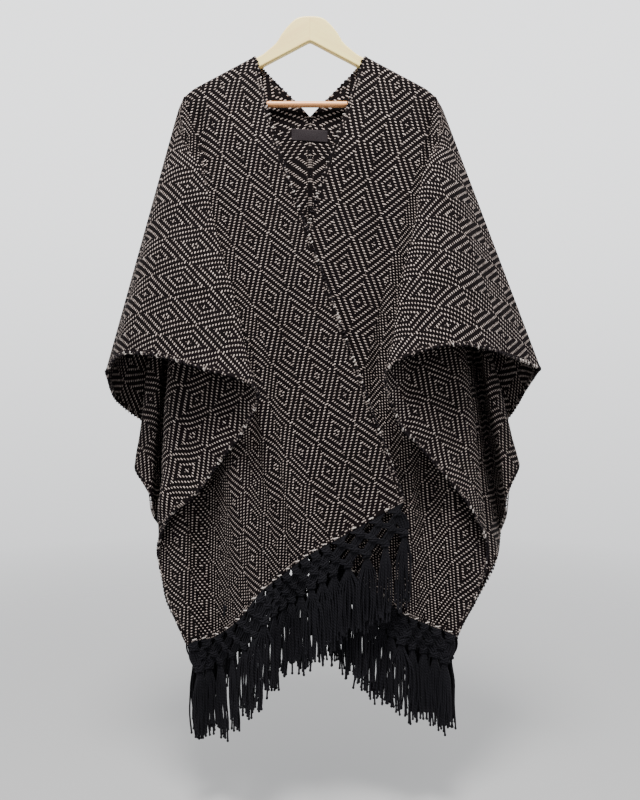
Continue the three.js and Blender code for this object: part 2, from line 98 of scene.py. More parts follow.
# Folds that hang from the shoulder tip: distance round the cut edge from the middle of the cuff,
# then the place of that edge point as distance from the middle, y and z
FOLDS = {
    "left_front": [
        (0, 369, 5, -640), (70, 328, -45, -610), (150, 249, -85, -617), (215, 181, -102, -637),
        (284, 88, -100, -672), (350, 110, -74, -737), (430, 156, -58, -798), (500, 203, -38, -859),
        (545, 243, -22, -891), (590, 268, -2, -932), (660, 276, 16, -982), (740, 254, 8, -1058),
        (850, 220, -10, -1127), (930, 173, 10, -1118), (1010, 122, -40, -1072), (1090, 85, -60, -1020),
        (1180, 50, -22, -1000), (1270, 10, -38, -966), (1362, -36, -30, -941)],
    "right_front": [
        (0, 416, 5, -633), (70, 356, -40, -616), (150, 292, -80, -602), (215, 222, -100, -600),
        (284, 128, -100, -642), (350, 152, -76, -728), (430, 186, -60, -766), (500, 243, -40, -830),
        (560, 286, -24, -883), (610, 315, -4, -938), (680, 322, 14, -977), (760, 298, 4, -1047),
        (850, 263, -10, -1112), (930, 213, 3, -1094), (1010, 168, -18, -1070), (1090, 135, 2, -1046),
        (1180, 99, -8, -1020), (1270, 63, 3, -988), (1362, 14, -5, -950)],
    "left_back": [
        (0, 369, 5, -640), (90, 364, 62, -692), (180, 305, 106, -742), (270, 225, 118, -775),
        (350, 272, 92, -800), (430, 327, 58, -814), (490, 298, 32, -858), (560, 296, 60, -905),
        (630, 284, 104, -950), (700, 276, 54, -1000), (775, 266, 40, -1064), (850, 237, 66, -1138),
        (935, 216, 92, -1120), (1020, 196, 60, -1094), (1104, 178, 46, -1066), (1195, 164, 70, -1038),
        (1280, 150, 84, -1004), (1362, 132, 64, -968)],
    "right_back": [
        (0, 416, 5, -633), (90, 408, 65, -668), (180, 378, 104, -730), (270, 300, 118, -775),
        (350, 342, 92, -798), (430, 388, 56, -810), (490, 366, 32, -856), (560, 368, 62, -906),
        (630, 368, 104, -946), (700, 346, 56, -996), (775, 308, 40, -1060), (850, 281, 68, -1132),
        (935, 256, 94, -1116), (1020, 232, 60, -1094), (1110, 210, 40, -1062), (1195, 188, 72, -1038),
        (1280, 166, 86, -1004), (1362, 136, 64, -968)],
}

# Creases pressed into a panel: side, where each starts and ends on the cut (u from the inner edge,
# v down the front and negative down the back), half width and height; a trough is below 0
CREASES = [
    ("left", 126, 34, 162, 160, 9, -13.0),
    ("right", 138, 34, 186, 160, 9, -13.0),
    ("left", 150, -40, 175, -170, 12, -7.0),
    ("right", 148, -40, 172, -165, 11, -7.0),
    ("left", 92, 430, 275, 835, 17, -9.5),
    ("left", 134, 425, 316, 838, 17, 6.5),
    ("left", 330, 600, 470, 835, 30, 4.0),
    ("left", 500, 600, 590, 800, 22, -9.0),
    ("left", 600, 540, 645, 640, 20, -8.0),
    ("left", 30, 150, 60, 520, 24, 3.0),
    ("left", 300, 120, 470, 260, 22, -3.2),
    ("left", 330, 40, 560, 110, 26, 3.0),
    ("left", 60, -200, 100, -700, 26, 3.0),
    ("left", 380, -180, 560, -360, 24, -3.2),
    ("right", 78, 170, 205, 560, 22, -9.0),
    ("right", 30, 120, 60, 500, 22, 3.0),
    ("right", 370, 590, 540, 720, 28, -9.0),
    ("right", 540, 410, 640, 570, 24, 6.0),
    ("right", 280, 90, 450, 230, 24, -3.0),
    ("right", 320, 30, 590, 130, 24, 3.0),
    ("right", 50, -240, 80, -720, 26, -2.6),
    ("right", 360, -160, 580, -330, 24, 3.0),
]

# Slow ripples all over a panel: height, lengths along u and v, and shift
RIPPLES = [(0.9, 41, 97, 0), (0.8, 23, -71, 1.3), (0.5, 15, 31, 0)]

# Dark rims of the weave in millimetres: at free edges, at hems, at the sewn seam, and how softly
# they end; then the share of specks in them
EDGE_RIM, HEM_RIM, SEAM_RIM, RIM_FADE = 7, 7, 2.8, 1.2
SPECK_SHARE = 0.4

# Insets from an edge at which a panel has rows of points, in millimetres, and how far from the edge
# the other rows end
EDGE_INSETS = np.array([8, 6, 4.5, 3, 1.5, 0])
ROWS_END = 12

# The raised bead along an edge: how far inside the edge its middle is, and its half width
BEAD_INSET, BEAD_HALF_WIDTH = 3, 3.4

# Where the cloth sags off the shoulder tip: how far round it, towards the middle, and down
SAG_REACH, SAG_INWARD, SAG_DOWN = 15, 2.5, 4.5

# Share of the weft's turns at an edge that are light
LIGHT_TURN_SHARE = 0.25

FRINGES = ("left_front", "right_front", "left_back", "right_back")
NODE_OF_FRINGE = {name: "fringe_{1}_{0}".format(*name.split("_")) for name in FRINGES}


def linear(red, green, blue):
    """A colour seen as 0 to 255, as the linear light values that shaders take."""
    seen = np.array([red, green, blue]) / 255
    return tuple(np.where(seen <= 0.04045, seen / 12.92, ((seen + 0.055) / 1.055) ** 2.4)) + (1.0,)


def colour_property(name, description, seen):
    """A colour setting whose default is given as 0 to 255."""
    return FloatVectorProperty(name=name, description=description, subtype="COLOR", size=4,
                               min=0, max=1, default=linear(*seen))


def length_property(name, description, default):
    """A length setting, with its default in metres."""
    return FloatProperty(name=name, description=description, default=default, unit="LENGTH")


class PonchoClothSettings(bpy.types.PropertyGroup):
    wall: length_property("Cloth thickness", "Thickness of the woven wall", 2.5 * MM)
    edge_wall: length_property("Edge thickness", "Thickness of the firm selvedge and hem", 3.9 * MM)
    warp_pitch: length_property("Warp pitch", "Distance between warp yarns", 2.8 * MM)
    pick_pitch: length_property("Pick pitch", "Distance between weft yarns", 4.2 * MM)
    repeat: IntProperty(name="Diamond repeat", description="Yarns in one diamond, both ways", default=26)
    light_yarn: colour_property("Light yarn", "Off-white weft yarn", (255, 246, 238))
    dark_yarn: colour_property("Dark yarn", "Black warp yarn", (20, 14, 15))


class PonchoFringeSettings(bpy.types.PropertyGroup):
    bundles: IntProperty(name="Bundles", description="Knotted bundles along each hem", default=18)
    row_drop: length_property("Row drop", "Distance between rows of knots", 19 * MM)
    tassel: length_property("Tassel length", "Loose yarn below the last knots", 126 * MM)
    yarn_radius: length_property("Yarn radius", "Radius of one fringe yarn", 1.65 * MM)
    yarn: colour_property("Fringe yarn", "Black fringe yarn", (9, 9, 13))


class PonchoHangerSettings(bpy.types.PropertyGroup):
    rounding: length_property("Edge rounding", "Radius of the board's rounded edges", 3 * MM)
    bar_radius: length_property("Bar radius", "Radius of the trouser bar", 5.5 * MM)
    wood: colour_property("Board wood", "Pale varnished board", (255, 240, 150))
    bar_wood: colour_property("Bar wood", "Reddish bar", (255, 188, 124))
    label: colour_property("Label", "Bare ribbon label", (22, 17, 20))


class PonchoStageSettings(bpy.types.PropertyGroup):
    distance: length_property("Camera distance", "From the camera to the hanger's plane", 1.3)
    height: length_property("View height", "Height that the picture shows at the hanger", 1.44)
    floor: colour_property("Floor", "Pale floor", (158, 158, 158))


class Value:
    """A number in a material; Python's operators on it add Math nodes."""

    def __init__(self, finish, socket):
        self.finish = finish
        self.socket = socket

    def __add__(self, other):
        return self.finish.math("ADD", self, other)

    def __sub__(self, other):
        return self.finish.math("SUBTRACT", self, other)

    def __mul__(self, other):
        return self.finish.math("MULTIPLY", self, other)

    def __truediv__(self, other):
        return self.finish.math("DIVIDE", self, other)

    def __rsub__(self, other):
        return self.finish.math("SUBTRACT", other, self)

    def __mod__(self, other):
        return self.finish.math("FLOORED_MODULO", self, other)

    def __lt__(self, other):
        return self.finish.math("LESS_THAN", self, other)

    def __abs__(self):
        return self.finish.math("ABSOLUTE", self)

    __radd__ = __add__
    __rmul__ = __mul__


class Finish:
    """A procedural material: nodes are added by type, and numbers are worked out as expressions."""

    def __init__(self, name, **surface):
        self.material = bpy.data.materials.new(name)
        self.material.use_nodes = True
        self.tree = self.material.node_tree
        self.shader = self.tree.nodes["Principled BSDF"]
        for socket, value in surface.items():
            self.shader.inputs[socket.replace("_", " ")].default_value = value

    def put(self, socket, value):
        """Link a value or socket to a socket, or set a plain value on it."""
        if isinstance(value, Value):
            value = value.socket
        if isinstance(value, bpy.types.NodeSocket):
            self.tree.links.new(value, socket)
        else:
            socket.default_value = value

    def node(self, kind, settings=(), inputs=()):
        """Add a node of one type, set its settings first, and then its sockets by name or number."""
        node = self.tree.nodes.new(kind)
        for name, value in dict(settings).items():
            if name == "stops":
                ramp = node.color_ramp.elements
                for number, (place, colour) in enumerate(value):
                    stop = ramp[number] if number < 2 else ramp.new(place)
                    stop.position = place
                    stop.color = colour
            else:
                setattr(node, name, value)
        for name, value in dict(inputs).items():
            self.put(node.inputs[name], value)
        return node

    def math(self, operation, *values):
        node = self.node("ShaderNodeMath", {"operation": operation}, dict(enumerate(values)))
        return Value(self, node.outputs[0])

    def clamp(self, value):
        node = self.node("ShaderNodeMath", {"operation": "ADD", "use_clamp": True}, {0: value, 1: 0.0})
        return Value(self, node.outputs[0])

    def floor(self, value):
        return self.math("FLOOR", value)

    def mix(self, share, low, high):
        node = self.node("ShaderNodeMix", {"data_type": "RGBA"}, {0: share, 6: low, 7: high})
        return node.outputs[2]

    def parts(self, vector):
        node = self.node("ShaderNodeSeparateXYZ", (), {0: vector})
        return [Value(self, output) for output in node.outputs]

    def vector(self, x, y, z):
        return self.node("ShaderNodeCombineXYZ", (), {0: x, 1: y, 2: z}).outputs[0]

    def noise(self, vector, scale, detail=2.0, roughness=0.5):
        node = self.node("ShaderNodeTexNoise", (), {
            "Vector": vector, "Scale": scale, "Detail": detail, "Roughness": roughness})
        return Value(self, node.outputs["Fac"])

    def chance(self, x, y):
        """A number from 0 to 1 that is the same for the same x and y."""
        node = self.node("ShaderNodeTexWhiteNoise", {"noise_dimensions": "2D"},
                         {"Vector": self.vector(x, y, 0.0)})
        return Value(self, node.outputs["Value"])

    def map_of_piece(self):
        return self.node("ShaderNodeUVMap", {"uv_map": "cut"}).outputs[0]

    def object_place(self):
        return self.node("ShaderNodeTexCoord").outputs["Object"]

    def bump(self, height, distance, strength=1.0):
        node = self.node("ShaderNodeBump", (), {
            "Strength": strength, "Distance": distance, "Height": height})
        self.put(self.shader.inputs["Normal"], node.outputs[0])

    def finish(self, colour, roughness=None):
        self.put(self.shader.inputs["Base Color"], colour)
        if roughness is not None:
            self.put(self.shader.inputs["Roughness"], roughness)
        return self.material


def weave_finish(cloth):
    """Diamond twill on the cut's own map: each pick floats over two warps and under two, the steps
    turn at the middle of each repeat, and a float is a rounded oval of light yarn. Rims are dark,
    with a few specks."""
    f = Finish("diamond twill", Roughness=0.95, Specular_IOR_Level=0.08)
    u, v, _ = f.parts(f.map_of_piece())
    drift = f.noise(f.map_of_piece(), 7.0, 1.0)
    warp = u / cloth.warp_pitch + (drift - 0.5) * 1.1
    drift_pick = f.noise(f.map_of_piece(), 5.0, 1.0)
    pick = v / cloth.pick_pitch + (drift_pick - 0.5) * 0.9
    column, row = f.floor(warp), f.floor(pick)
    across, along = warp - column, pick - row
    half = cloth.repeat / 2
    step_row = abs(row % cloth.repeat - half)

    def is_light(at):
        step = (abs(at % cloth.repeat - half) + step_row) % 4.0
        return step < 1.5

    here, before, after = is_light(column), is_light(column - 1.0), is_light(column + 1.0)
    from_start = f.math("MAXIMUM", across, before)
    from_end = f.math("MAXIMUM", 1.0 - across, after)
    end = f.clamp((f.math("MINIMUM", from_start, from_end) - 0.2) / 0.62)
    rounding = f.math("SQRT", f.math("MAXIMUM", 1.0 - (1.0 - end) * (1.0 - end), 0.0))
    uneven = f.chance(f.floor(warp / 2.0), row)
    half_height = rounding * (0.18 + uneven * 0.12)
    off_middle = abs(along - 0.5)
    light = here * f.clamp((half_height - off_middle) / 0.07)

    sewn = v < (HALF_LENGTH - SEAM_TOP) * MM
    edge = f.math("MINIMUM", u + sewn * ((EDGE_RIM - SEAM_RIM) * MM), PANEL_WIDTH * MM - u)
    hem = f.math("MINIMUM", v, 2 * HALF_LENGTH * MM - v)
    open_field = f.clamp(f.math("MINIMUM", edge - EDGE_RIM * MM, hem - HEM_RIM * MM) / (RIM_FADE * MM))
    speck = f.clamp((0.3 - off_middle) / 0.1) * f.clamp((0.46 - abs(across - 0.5)) / 0.1)
    specks = (f.chance(column, row) < SPECK_SHARE) * speck
    light = f.math("MAXIMUM", light * open_field, specks * (1.0 - open_field) * 0.7)

    place = f.object_place()
    fibre = f.noise(place, 900.0, 3.0, 0.7)
    picked = f.chance(row, f.floor(warp / 2.0))
    shade = f.clamp(0.62 + picked * 0.38 + (f.noise(place, 60.0, 2.0) - 0.5) * 0.3)
    pale = f.mix(f.clamp(fibre * 1.2 - 0.25), linear(150, 128, 120), tuple(cloth.light_yarn))
    pale = f.mix(shade, linear(70, 56, 54), pale)
    dark = f.mix(f.clamp(fibre * 1.4 - 0.2), linear(10, 7, 9), tuple(cloth.dark_yarn))
    weft_height = light * (1.0 - off_middle * off_middle * 5.0)
    warp_middle = abs(across - 0.5)
    warp_height = (1.0 - light) * (0.62 - warp_middle * warp_middle * 1.9)
    f.bump(weft_height + warp_height + fibre * 0.22, 1.3 * MM, 0.9)
    return f.finish(f.mix(light, dark, pale), 0.86 + fibre * 0.14)


def yarn_finish(name, colour, painted_highlight_and_tone_colour):
    """Plied yarn: slanted strands round each yarn on its own map, with loose fibres. The strands' crests
    are painted lighter towards a second colour as a painted highlight, mixed with random fibre and patch
    tone.
    """
    f = Finish(name, Roughness=0.9, Specular_IOR_Level=0.14)
    around, along, _ = f.parts(f.map_of_piece())
    ply = f.math("SINE", (around * 2.0 + along / (4.6 * MM)) * math.tau)
    place = f.object_place()
    fibre = f.noise(place, 700.0, 3.0, 0.65)
    patch = f.noise(place, 45.0, 1.0)
    # Painted highlight: the ply's crests are painted lighter towards the highlight colour; the fibre and
    # patch noise add random tone.
    shade = f.clamp(0.35 + ply * 0.3 + (fibre - 0.5) * 0.7 + (patch - 0.5) * 0.6)
    f.bump(ply * 0.5 + fibre * 0.5, 0.6 * MM, 0.8)
    return f.finish(f.mix(shade, colour, painted_highlight_and_tone_colour), 0.8 + fibre * 0.2)


def wood_finish(name, colour, streak, under, length_scale):
    """Long grain along each arm, streaks of late wood, and a fine line where the halves are glued."""
    f = Finish(name, Roughness=0.42, Specular_IOR_Level=0.45, Coat_Weight=0.25, Coat_Roughness=0.3)
    x, y, z = f.parts(f.object_place())
    side = abs(x)
    along = side * math.cos(ARM_SLOPE) - z * math.sin(ARM_SLOPE)
    across = side * math.sin(ARM_SLOPE) + z * math.cos(ARM_SLOPE)
    half = (x < 0.0) * 3.0
    grain_place = f.vector(along * length_scale + half, across * 95.0 + half, y * 60.0)
    grain = f.noise(grain_place, 1.0, 4.0, 0.6)
    fine = f.noise(f.vector(along * 30.0 + half, across * 600.0, y * 300.0), 1.0, 2.0)
    broad = f.noise(f.vector(along * 5.0 + half, across * 22.0, y * 10.0), 1.0, 2.0)
    tone = f.mix(f.clamp(grain * 2.6 - 0.85), colour, streak)
    tone = f.mix(f.clamp((broad - 0.45) * 1.6) * 0.5, tone, under)
    tone = f.mix((x < 0.0) * 0.16, tone, streak)
    seam = f.clamp(1.0 - side / (0.5 * MM)) * 0.45
    tone = f.mix(seam, tone, under)
    f.bump(grain * 0.4 + fine * 0.25 - seam, 0.25 * MM, 0.5)
    return f.finish(tone, 0.34 + grain * 0.2)


def bar_finish(colour):
    """Turned bar: grain along its length, with darker flecks."""
    f = Finish("bar wood", Roughness=0.4, Specular_IOR_Level=0.45, Coat_Weight=0.2, Coat_Roughness=0.3)
    x, y, z = f.parts(f.object_place())
    grain = f.noise(f.vector(x * 14.0, y * 420.0, z * 420.0), 1.0, 3.0, 0.6)
    fleck = f.noise(f.vector(x * 40.0, y * 160.0, z * 160.0), 1.0, 2.0)
    tone = f.mix(f.clamp(grain * 2.2 - 0.7), colour, linear(206, 134, 84))
    tone = f.mix(f.clamp(fleck * 6.0 - 3.9) * 0.6, tone, linear(140, 84, 52))
    f.bump(grain, 0.2 * MM, 0.5)
    return f.finish(tone, 0.36 + grain * 0.2)


def label_finish(colour):
    """Tight satin ribbon: fine ribs across the label on its own map. The rib crests are painted lighter as
    a painted highlight, and cloudy noise adds random tone.
    """
    f = Finish("ribbon", Roughness=0.75, Specular_IOR_Level=0.2)
    u, v, _ = f.parts(f.map_of_piece())
    rib = f.math("SINE", v * (math.tau / (0.7 * MM)))
    thread = f.math("SINE", u * (math.tau / (0.5 * MM)))
    cloudy = f.noise(f.map_of_piece(), 160.0, 2.0)
    f.bump(rib * 0.5 + thread * 0.3, 0.12 * MM, 0.6)
    # Painted highlight: the rib crests are painted lighter towards the second colour; the cloudy noise adds
    # random tone.
    tone = f.mix(f.clamp(0.3 + rib * 0.15 + cloudy * 0.4), colour, linear(40, 31, 35))
    return f.finish(tone, 0.6 + cloudy * 0.2)


def floor_finish(colour):
    """Matt pale floor that fades out from the middle to its rim."""
    f = Finish("floor", Roughness=0.9, Specular_IOR_Level=0.1)
    x, y, _ = f.parts(f.object_place())
    away = f.math("SQRT", x * x + y * y)
    f.put(f.shader.inputs["Alpha"], f.clamp((FLOOR_RADIUS * 0.95 - away) / (FLOOR_RADIUS * 0.75)))
    return f.finish(colour)


def unit(vectors):
    """Each vector divided by its length."""
    return vectors / np.maximum(np.linalg.norm(vectors, axis=-1, keepdims=True), 1e-9)


def smooth_step(low, high, value):
    """0 below low, 1 above high, and 3t^2 - 2t^3 between."""
    t = np.clip((value - low) / (high - low), 0, 1)
    return t * t * (3 - 2 * t)


def curve_through(at_rows, points, at):
    """Cubic through rows, each slope from the rows beside it: point * (1 + 2t)(1 - t)^2 and so on."""
    at_rows, points = np.asarray(at_rows, float), np.asarray(points, float)
    number = len(at_rows)
    low, high = np.maximum(np.arange(number) - 1, 0), np.minimum(np.arange(number) + 1, number - 1)
    slopes = (points[high] - points[low]) / (at_rows[high] - at_rows[low])[:, None]
    at = np.asarray(at, float)
    i = np.clip(np.searchsorted(at_rows, at, side="left") - 1, 0, number - 2)
    span = (at_rows[i + 1] - at_rows[i])[..., None]
    t = np.clip((at - at_rows[i])[..., None] / span, 0, 1)
    return (points[i] * (1 + 2 * t) * (1 - t) ** 2 + slopes[i] * span * t * (1 - t) ** 2
            + points[i + 1] * t * t * (3 - 2 * t) + slopes[i + 1] * span * t * t * (t - 1))


def bend_point(share, turn, face):
    """Place on the bend over the arm: an arc round a line just under the arm's top edge."""
    share, turn = np.broadcast_arrays(np.asarray(share, float), np.asarray(turn, float))
    x = REST_X + SHOULDER * share * math.cos(ARM_SLOPE)
    top = ARM_START_Z - (x - ARM_START_X) * math.tan(ARM_SLOPE)
    angle = turn * math.pi / 2
    up = BEND_RADIUS * np.cos(angle) - ARM_HALF_THICK
    return np.stack([x + up * math.sin(ARM_SLOPE), face * BEND_RADIUS * np.sin(angle),
                     top + up * math.cos(ARM_SLOPE)], -1)


def cut_point(edge):
    """Out and down distance on the cut cloth, from the shoulder tip, of a point on its edge."""
    down = np.minimum(edge, HALF_LENGTH)
    return SLEEVE_WIDTH - (edge - down), down


class Layer:
    """One layer, front or back, of one panel: place for any point of the cut, in millimetres.
    Straight rays run from the shoulder tip to the cut edge; the body lies between the inner edge
    and the last ray."""

    def __init__(self, name):
        self.name = name
        self.side = -1 if name.startswith("left") else 1
        self.face = -1 if name.endswith("front") else 1
        rows = np.array(FOLDS[name], float)
        out, down = cut_point(rows[:, 0])
        self.turns = np.arctan2(down, out)
        starts = bend_point(1, self.turns / (math.pi / 2), self.face)
        self.directions = (rows[:, 1:] - starts) / np.hypot(out, down)[:, None]
        inner = np.array(INNER_EDGES[name], float)
        self.inner_at = np.concatenate([[0], inner[:, 0]])
        self.inner_points = np.concatenate([[bend_point(0, 1, self.face)], inner[:, 1:]])

    def sleeve(self, edge, share):
        """Place by distance round the cut edge and share of the ray from the shoulder tip to it: the
        ray's start on the bend plus its direction times its length so far. Near the tip the
        direction goes evenly from the cuff's to the hem's, and further out it follows the folds."""
        edge, share = np.broadcast_arrays(np.asarray(edge, float), np.asarray(share, float))
        out, down = cut_point(edge)
        turn = np.arctan2(down, out)
        quarter = turn / (math.pi / 2)
        radius = share * np.hypot(out, down)
        first, last = self.directions[0], self.directions[-1]
        narrow = first + (last - first) * quarter[..., None]
        narrow[..., 1] += self.face * NARROW_BULGE * np.sin(math.pi * quarter)
        full = curve_through(self.turns, self.directions, turn)
        opened = smooth_step(FOLD_START, FOLD_FULL, radius)[..., None]
        direction = narrow + (full - narrow) * opened
        return bend_point(1, quarter, self.face) + direction * radius[..., None]

    def even_edge(self, edge):
        """Edge distance for the weave's map, spaced as the folded edge really runs, with the
        selvedge corner kept."""
        steps = np.sort(np.concatenate([np.linspace(0, HEM_END, 700), [HALF_LENGTH]]))
        run = np.linalg.norm(np.diff(self.sleeve(steps, 0.8), axis=0), axis=1)
        run = np.concatenate([[0], np.cumsum(run)])
        corner = np.interp(HALF_LENGTH, steps, run)
        even = np.where(run < corner, run / corner * HALF_LENGTH,
                        HALF_LENGTH + (run - corner) / (run[-1] - corner) * SLEEVE_WIDTH)
        return np.interp(edge, steps, even)

    def sleeve_cut(self, edge, share):
        """Place on the cut, across and down from the shoulder line, of a sleeve point."""
        out, down = cut_point(self.even_edge(edge))
        quarter = np.arctan2(down, out) / (math.pi / 2)
        start = BEND_LENGTH * quarter
        return np.stack([SHOULDER + out * share, (start + (down - start) * share) * -self.face], -1)

    def body(self, across, share):
        """Place between the inner edge (across 0) and the last ray (across 1), at a share of them."""
        across, share = np.broadcast_arrays(np.asarray(across, float), np.asarray(share, float))
        inner = curve_through(self.inner_at, self.inner_points, share)
        outer = self.sleeve(np.full(share.shape, HEM_END), share)
        return inner + (outer - inner) * across[..., None]

    def body_cut(self, across, share):
        """Place on the cut of a body point."""
        down = BEND_LENGTH + share * (HALF_LENGTH - BEND_LENGTH)
        return np.stack([across * SHOULDER, down * -self.face], -1)

    def hem(self, along, share=1.0):
        """Place near the hem by distance from the selvedge corner."""
        along = np.clip(along, 0, PANEL_WIDTH)
        share = np.full(np.shape(along), share)
        on_sleeve = self.sleeve(HALF_LENGTH + np.minimum(along, SLEEVE_WIDTH), share)
        across = 1 - (np.maximum(along, SLEEVE_WIDTH) - SLEEVE_WIDTH) / SHOULDER
        on_body = self.body(across, share)
        return np.where((along < SLEEVE_WIDTH)[..., None], on_sleeve, on_body)

    def hem_frame(self, along):
        """Hem point, unit fall of the cloth, and unit direction away from the wearer, mirrored to
        this side."""
        flip = np.array([self.side, 1, 1])
        point = self.hem(along)
        fall = unit(point - self.hem(along, 0.8))
        sideways = unit(self.hem(along + 4) - self.hem(along - 4))
        outward = unit(np.cross(sideways, fall))
        outward *= np.where(outward[..., 1:2] * self.face < 0, -1, 1)
        return point * flip, fall * flip, outward * flip


def grid_faces(rows, columns, flip=False):
    """Quads of a grid of points numbered row by row."""
    i, j = np.meshgrid(np.arange(rows - 1), np.arange(columns - 1), indexing="ij")
    first = (i * columns + j).ravel()
    quads = np.stack([first, first + 1, first + columns + 1, first + columns], 1)
    return quads[:, ::-1] if flip else quads


def ring_neighbours(rows, count):
    """Numbers of each point of closed rings but the last, and of the point after it in its ring."""
    i, j = np.meshgrid(np.arange(rows - 1), np.arange(count), indexing="ij")
    return (i * count + j).ravel(), (i * count + (j + 1) % count).ravel()


def join_patches(patches):
    """Patches of (points, map, quads) as one surface, with equal points joined. Collapsed quads
    become triangles, which repeat their last corner as -1."""
    starts = np.cumsum([0] + [len(points) for points, _, _ in patches[:-1]])
    points = np.concatenate([patch[0] for patch in patches])
    cut = np.concatenate([patch[1] for patch in patches])
    quads = np.concatenate([patch[2] + start for patch, start in zip(patches, starts)])
    _, first, where = np.unique(np.round(points * 1000).astype(np.int64), axis=0,
                                return_index=True, return_inverse=True)
    quads = where.reshape(-1)[quads]
    same = quads == np.roll(quads, -1, axis=1)
    number = same.sum(1)
    whole = quads[number == 0]
    triangles = quads[number == 1][~same[number == 1]].reshape(-1, 3)
    triangles = np.concatenate([triangles, np.full((len(triangles), 1), -1)], 1)
    return points[first], cut[first], np.concatenate([whole, triangles])


def corner_pairs(faces):
    """Directed edges of quads and triangles."""
    quads, triangles = faces[faces[:, 3] >= 0], faces[faces[:, 3] < 0][:, :3]
    return np.concatenate([np.stack([ring, np.roll(ring, -1, 1)], -1).reshape(-1, 2)
                           for ring in (quads, triangles)])


def surface_normals(points, faces):
    """Unit normal at each point: the sum of its faces' normals."""
    third = np.where(faces[:, 3] < 0, faces[:, 0], faces[:, 3])
    normal = np.cross(points[faces[:, 2]] - points[faces[:, 0]], points[third] - points[faces[:, 1]])
    triangle = faces[:, 3] < 0
    flat = np.cross(points[faces[:, 1]] - points[faces[:, 0]], points[faces[:, 2]] - points[faces[:, 0]])
    normal[triangle] = flat[triangle]
    total = np.zeros_like(points)
    for corner in range(4):
        used = faces[:, corner] >= 0
        np.add.at(total, faces[used, corner], normal[used])
    return unit(total)


def shell(points, faces, half_wall):
    """A closed wall: the surface moved out and in by half its thickness, joined round its rim."""
    count = len(points)
    normals = surface_normals(points, faces)
    moved = np.concatenate([points + normals * half_wall[:, None], points - normals * half_wall[:, None]])
    order = np.where(faces[:, 3:4] < 0, [[2, 1, 0, 3]], [[3, 2, 1, 0]])
    inside = np.take_along_axis(faces, order, 1)
    inside = np.where(inside < 0, -1, inside + count)
    pairs = corner_pairs(faces)
    codes = pairs[:, 0] * count + pairs[:, 1]
    open_pairs = pairs[~np.isin(codes, pairs[:, 1] * count + pairs[:, 0])]
    a, b = open_pairs[:, 0], open_pairs[:, 1]
    rim = np.stack([b, a, a + count, b + count], 1)
    return moved, np.concatenate([faces, inside, rim])


def add_mesh(name, points, rings, material, scale=MM):
    """A smooth mesh object from points and rings of point numbers; scale makes metres of points."""
    mesh = bpy.data.meshes.new(name)
    mesh.from_pydata((points * scale).tolist(), [], rings)
    mesh.shade_smooth()
    mesh.materials.append(material)
    obj = bpy.data.objects.new(name, mesh)
    bpy.context.scene.collection.objects.link(obj)
    return obj


def make_mesh(name, points, faces, material, cut=None, corner_map=None):
    """A piece of the garment from points in millimetres; cut is a map for each point, corner_map
    for each corner of each face."""
    rings = [face[:3] if face[3] < 0 else face for face in faces.tolist()]
    obj = add_mesh(name, points, rings, material)
    mesh = obj.data
    if cut is not None:
        corners = np.empty(len(mesh.loops), np.int32)
        mesh.loops.foreach_get("vertex_index", corners)
        corner_map = cut[corners % len(cut)]
    if corner_map is not None:
        mesh.uv_layers.new(name="cut").data.foreach_set("uv", (corner_map * MM).ravel())
    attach(obj, "root")
    return obj


def tubes(paths, radii, reference, sides=6, closed=False):
    """Round yarns along paths (yarn, point, xyz): a ring of points at each path point, across its
    direction. The map is turns round the yarn and millimetres along it."""
    radii = np.broadcast_to(radii, paths.shape[:-1]).reshape(-1, paths.shape[-2])
    reference = np.broadcast_to(reference, paths.shape).reshape(-1, *paths.shape[-2:])
    paths = paths.reshape(reference.shape)
    count, steps = paths.shape[:2]
    if closed:
        ahead, behind = np.roll(paths, -1, 1), np.roll(paths, 1, 1)
        direction = unit(ahead - behind)
    else:
        direction = unit(np.gradient(paths, axis=1))
    first = unit(reference - (reference * direction).sum(-1, keepdims=True) * direction)
    second = np.cross(direction, first)
    angle = np.arange(sides) * math.tau / sides
    radii = radii[..., None, None]
    ring = first[:, :, None] * np.cos(angle)[:, None] + second[:, :, None] * np.sin(angle)[:, None]
    points = (paths[:, :, None] + ring * radii).reshape(-1, 3)
    rows = np.arange(steps if closed else steps - 1)
    start = (np.arange(count) * steps * sides)[:, None, None]
    this, following = rows * sides, (rows + 1) % steps * sides
    k = np.arange(sides)
    turn = (k + 1) % sides
    quads = np.stack([start + this[:, None] + k, start + this[:, None] + turn,
                      start + following[:, None] + turn, start + following[:, None] + k], -1)
    length = np.linalg.norm(np.diff(paths, axis=1), axis=-1).mean()
    around = np.broadcast_to(k / sides / MM, (count, len(rows), sides))
    run = np.broadcast_to((rows * length)[:, None], around.shape)
    step = 1 / sides / MM
    corners = np.stack([
        np.stack([around, run], -1), np.stack([around + step, run], -1),
        np.stack([around + step, run + length], -1), np.stack([around, run + length], -1)], -2)
    faces, corners = quads.reshape(-1, 4), corners.reshape(-1, 2)
    if not closed:
        base = np.arange(count) * steps * sides
        low = np.array([[0, 3, 2, 1], [0, 5, 4, 3]])
        high = low[:, ::-1] + (steps - 1) * sides
        caps = (base[:, None, None] + np.concatenate([low, high])).reshape(-1, 4)
        faces = np.concatenate([faces, caps])
        corners = np.concatenate([corners, np.zeros((caps.size, 2))])
    return points, faces, corners


def join_tubes(groups):
    """Groups of tubes as one set of points, faces and corner maps."""
    starts = np.cumsum([0] + [len(points) for points, _, _ in groups[:-1]])
    return (np.concatenate([group[0] for group in groups]),
            np.concatenate([group[1] + start for group, start in zip(groups, starts)]),
            np.concatenate([group[2] for group in groups]))


def make_yarns(name, groups, material):
    """One piece made of groups of tubes."""
    points, faces, corners = join_tubes(groups)
    obj = make_mesh(name, points, faces, material, corner_map=corners)
    return obj


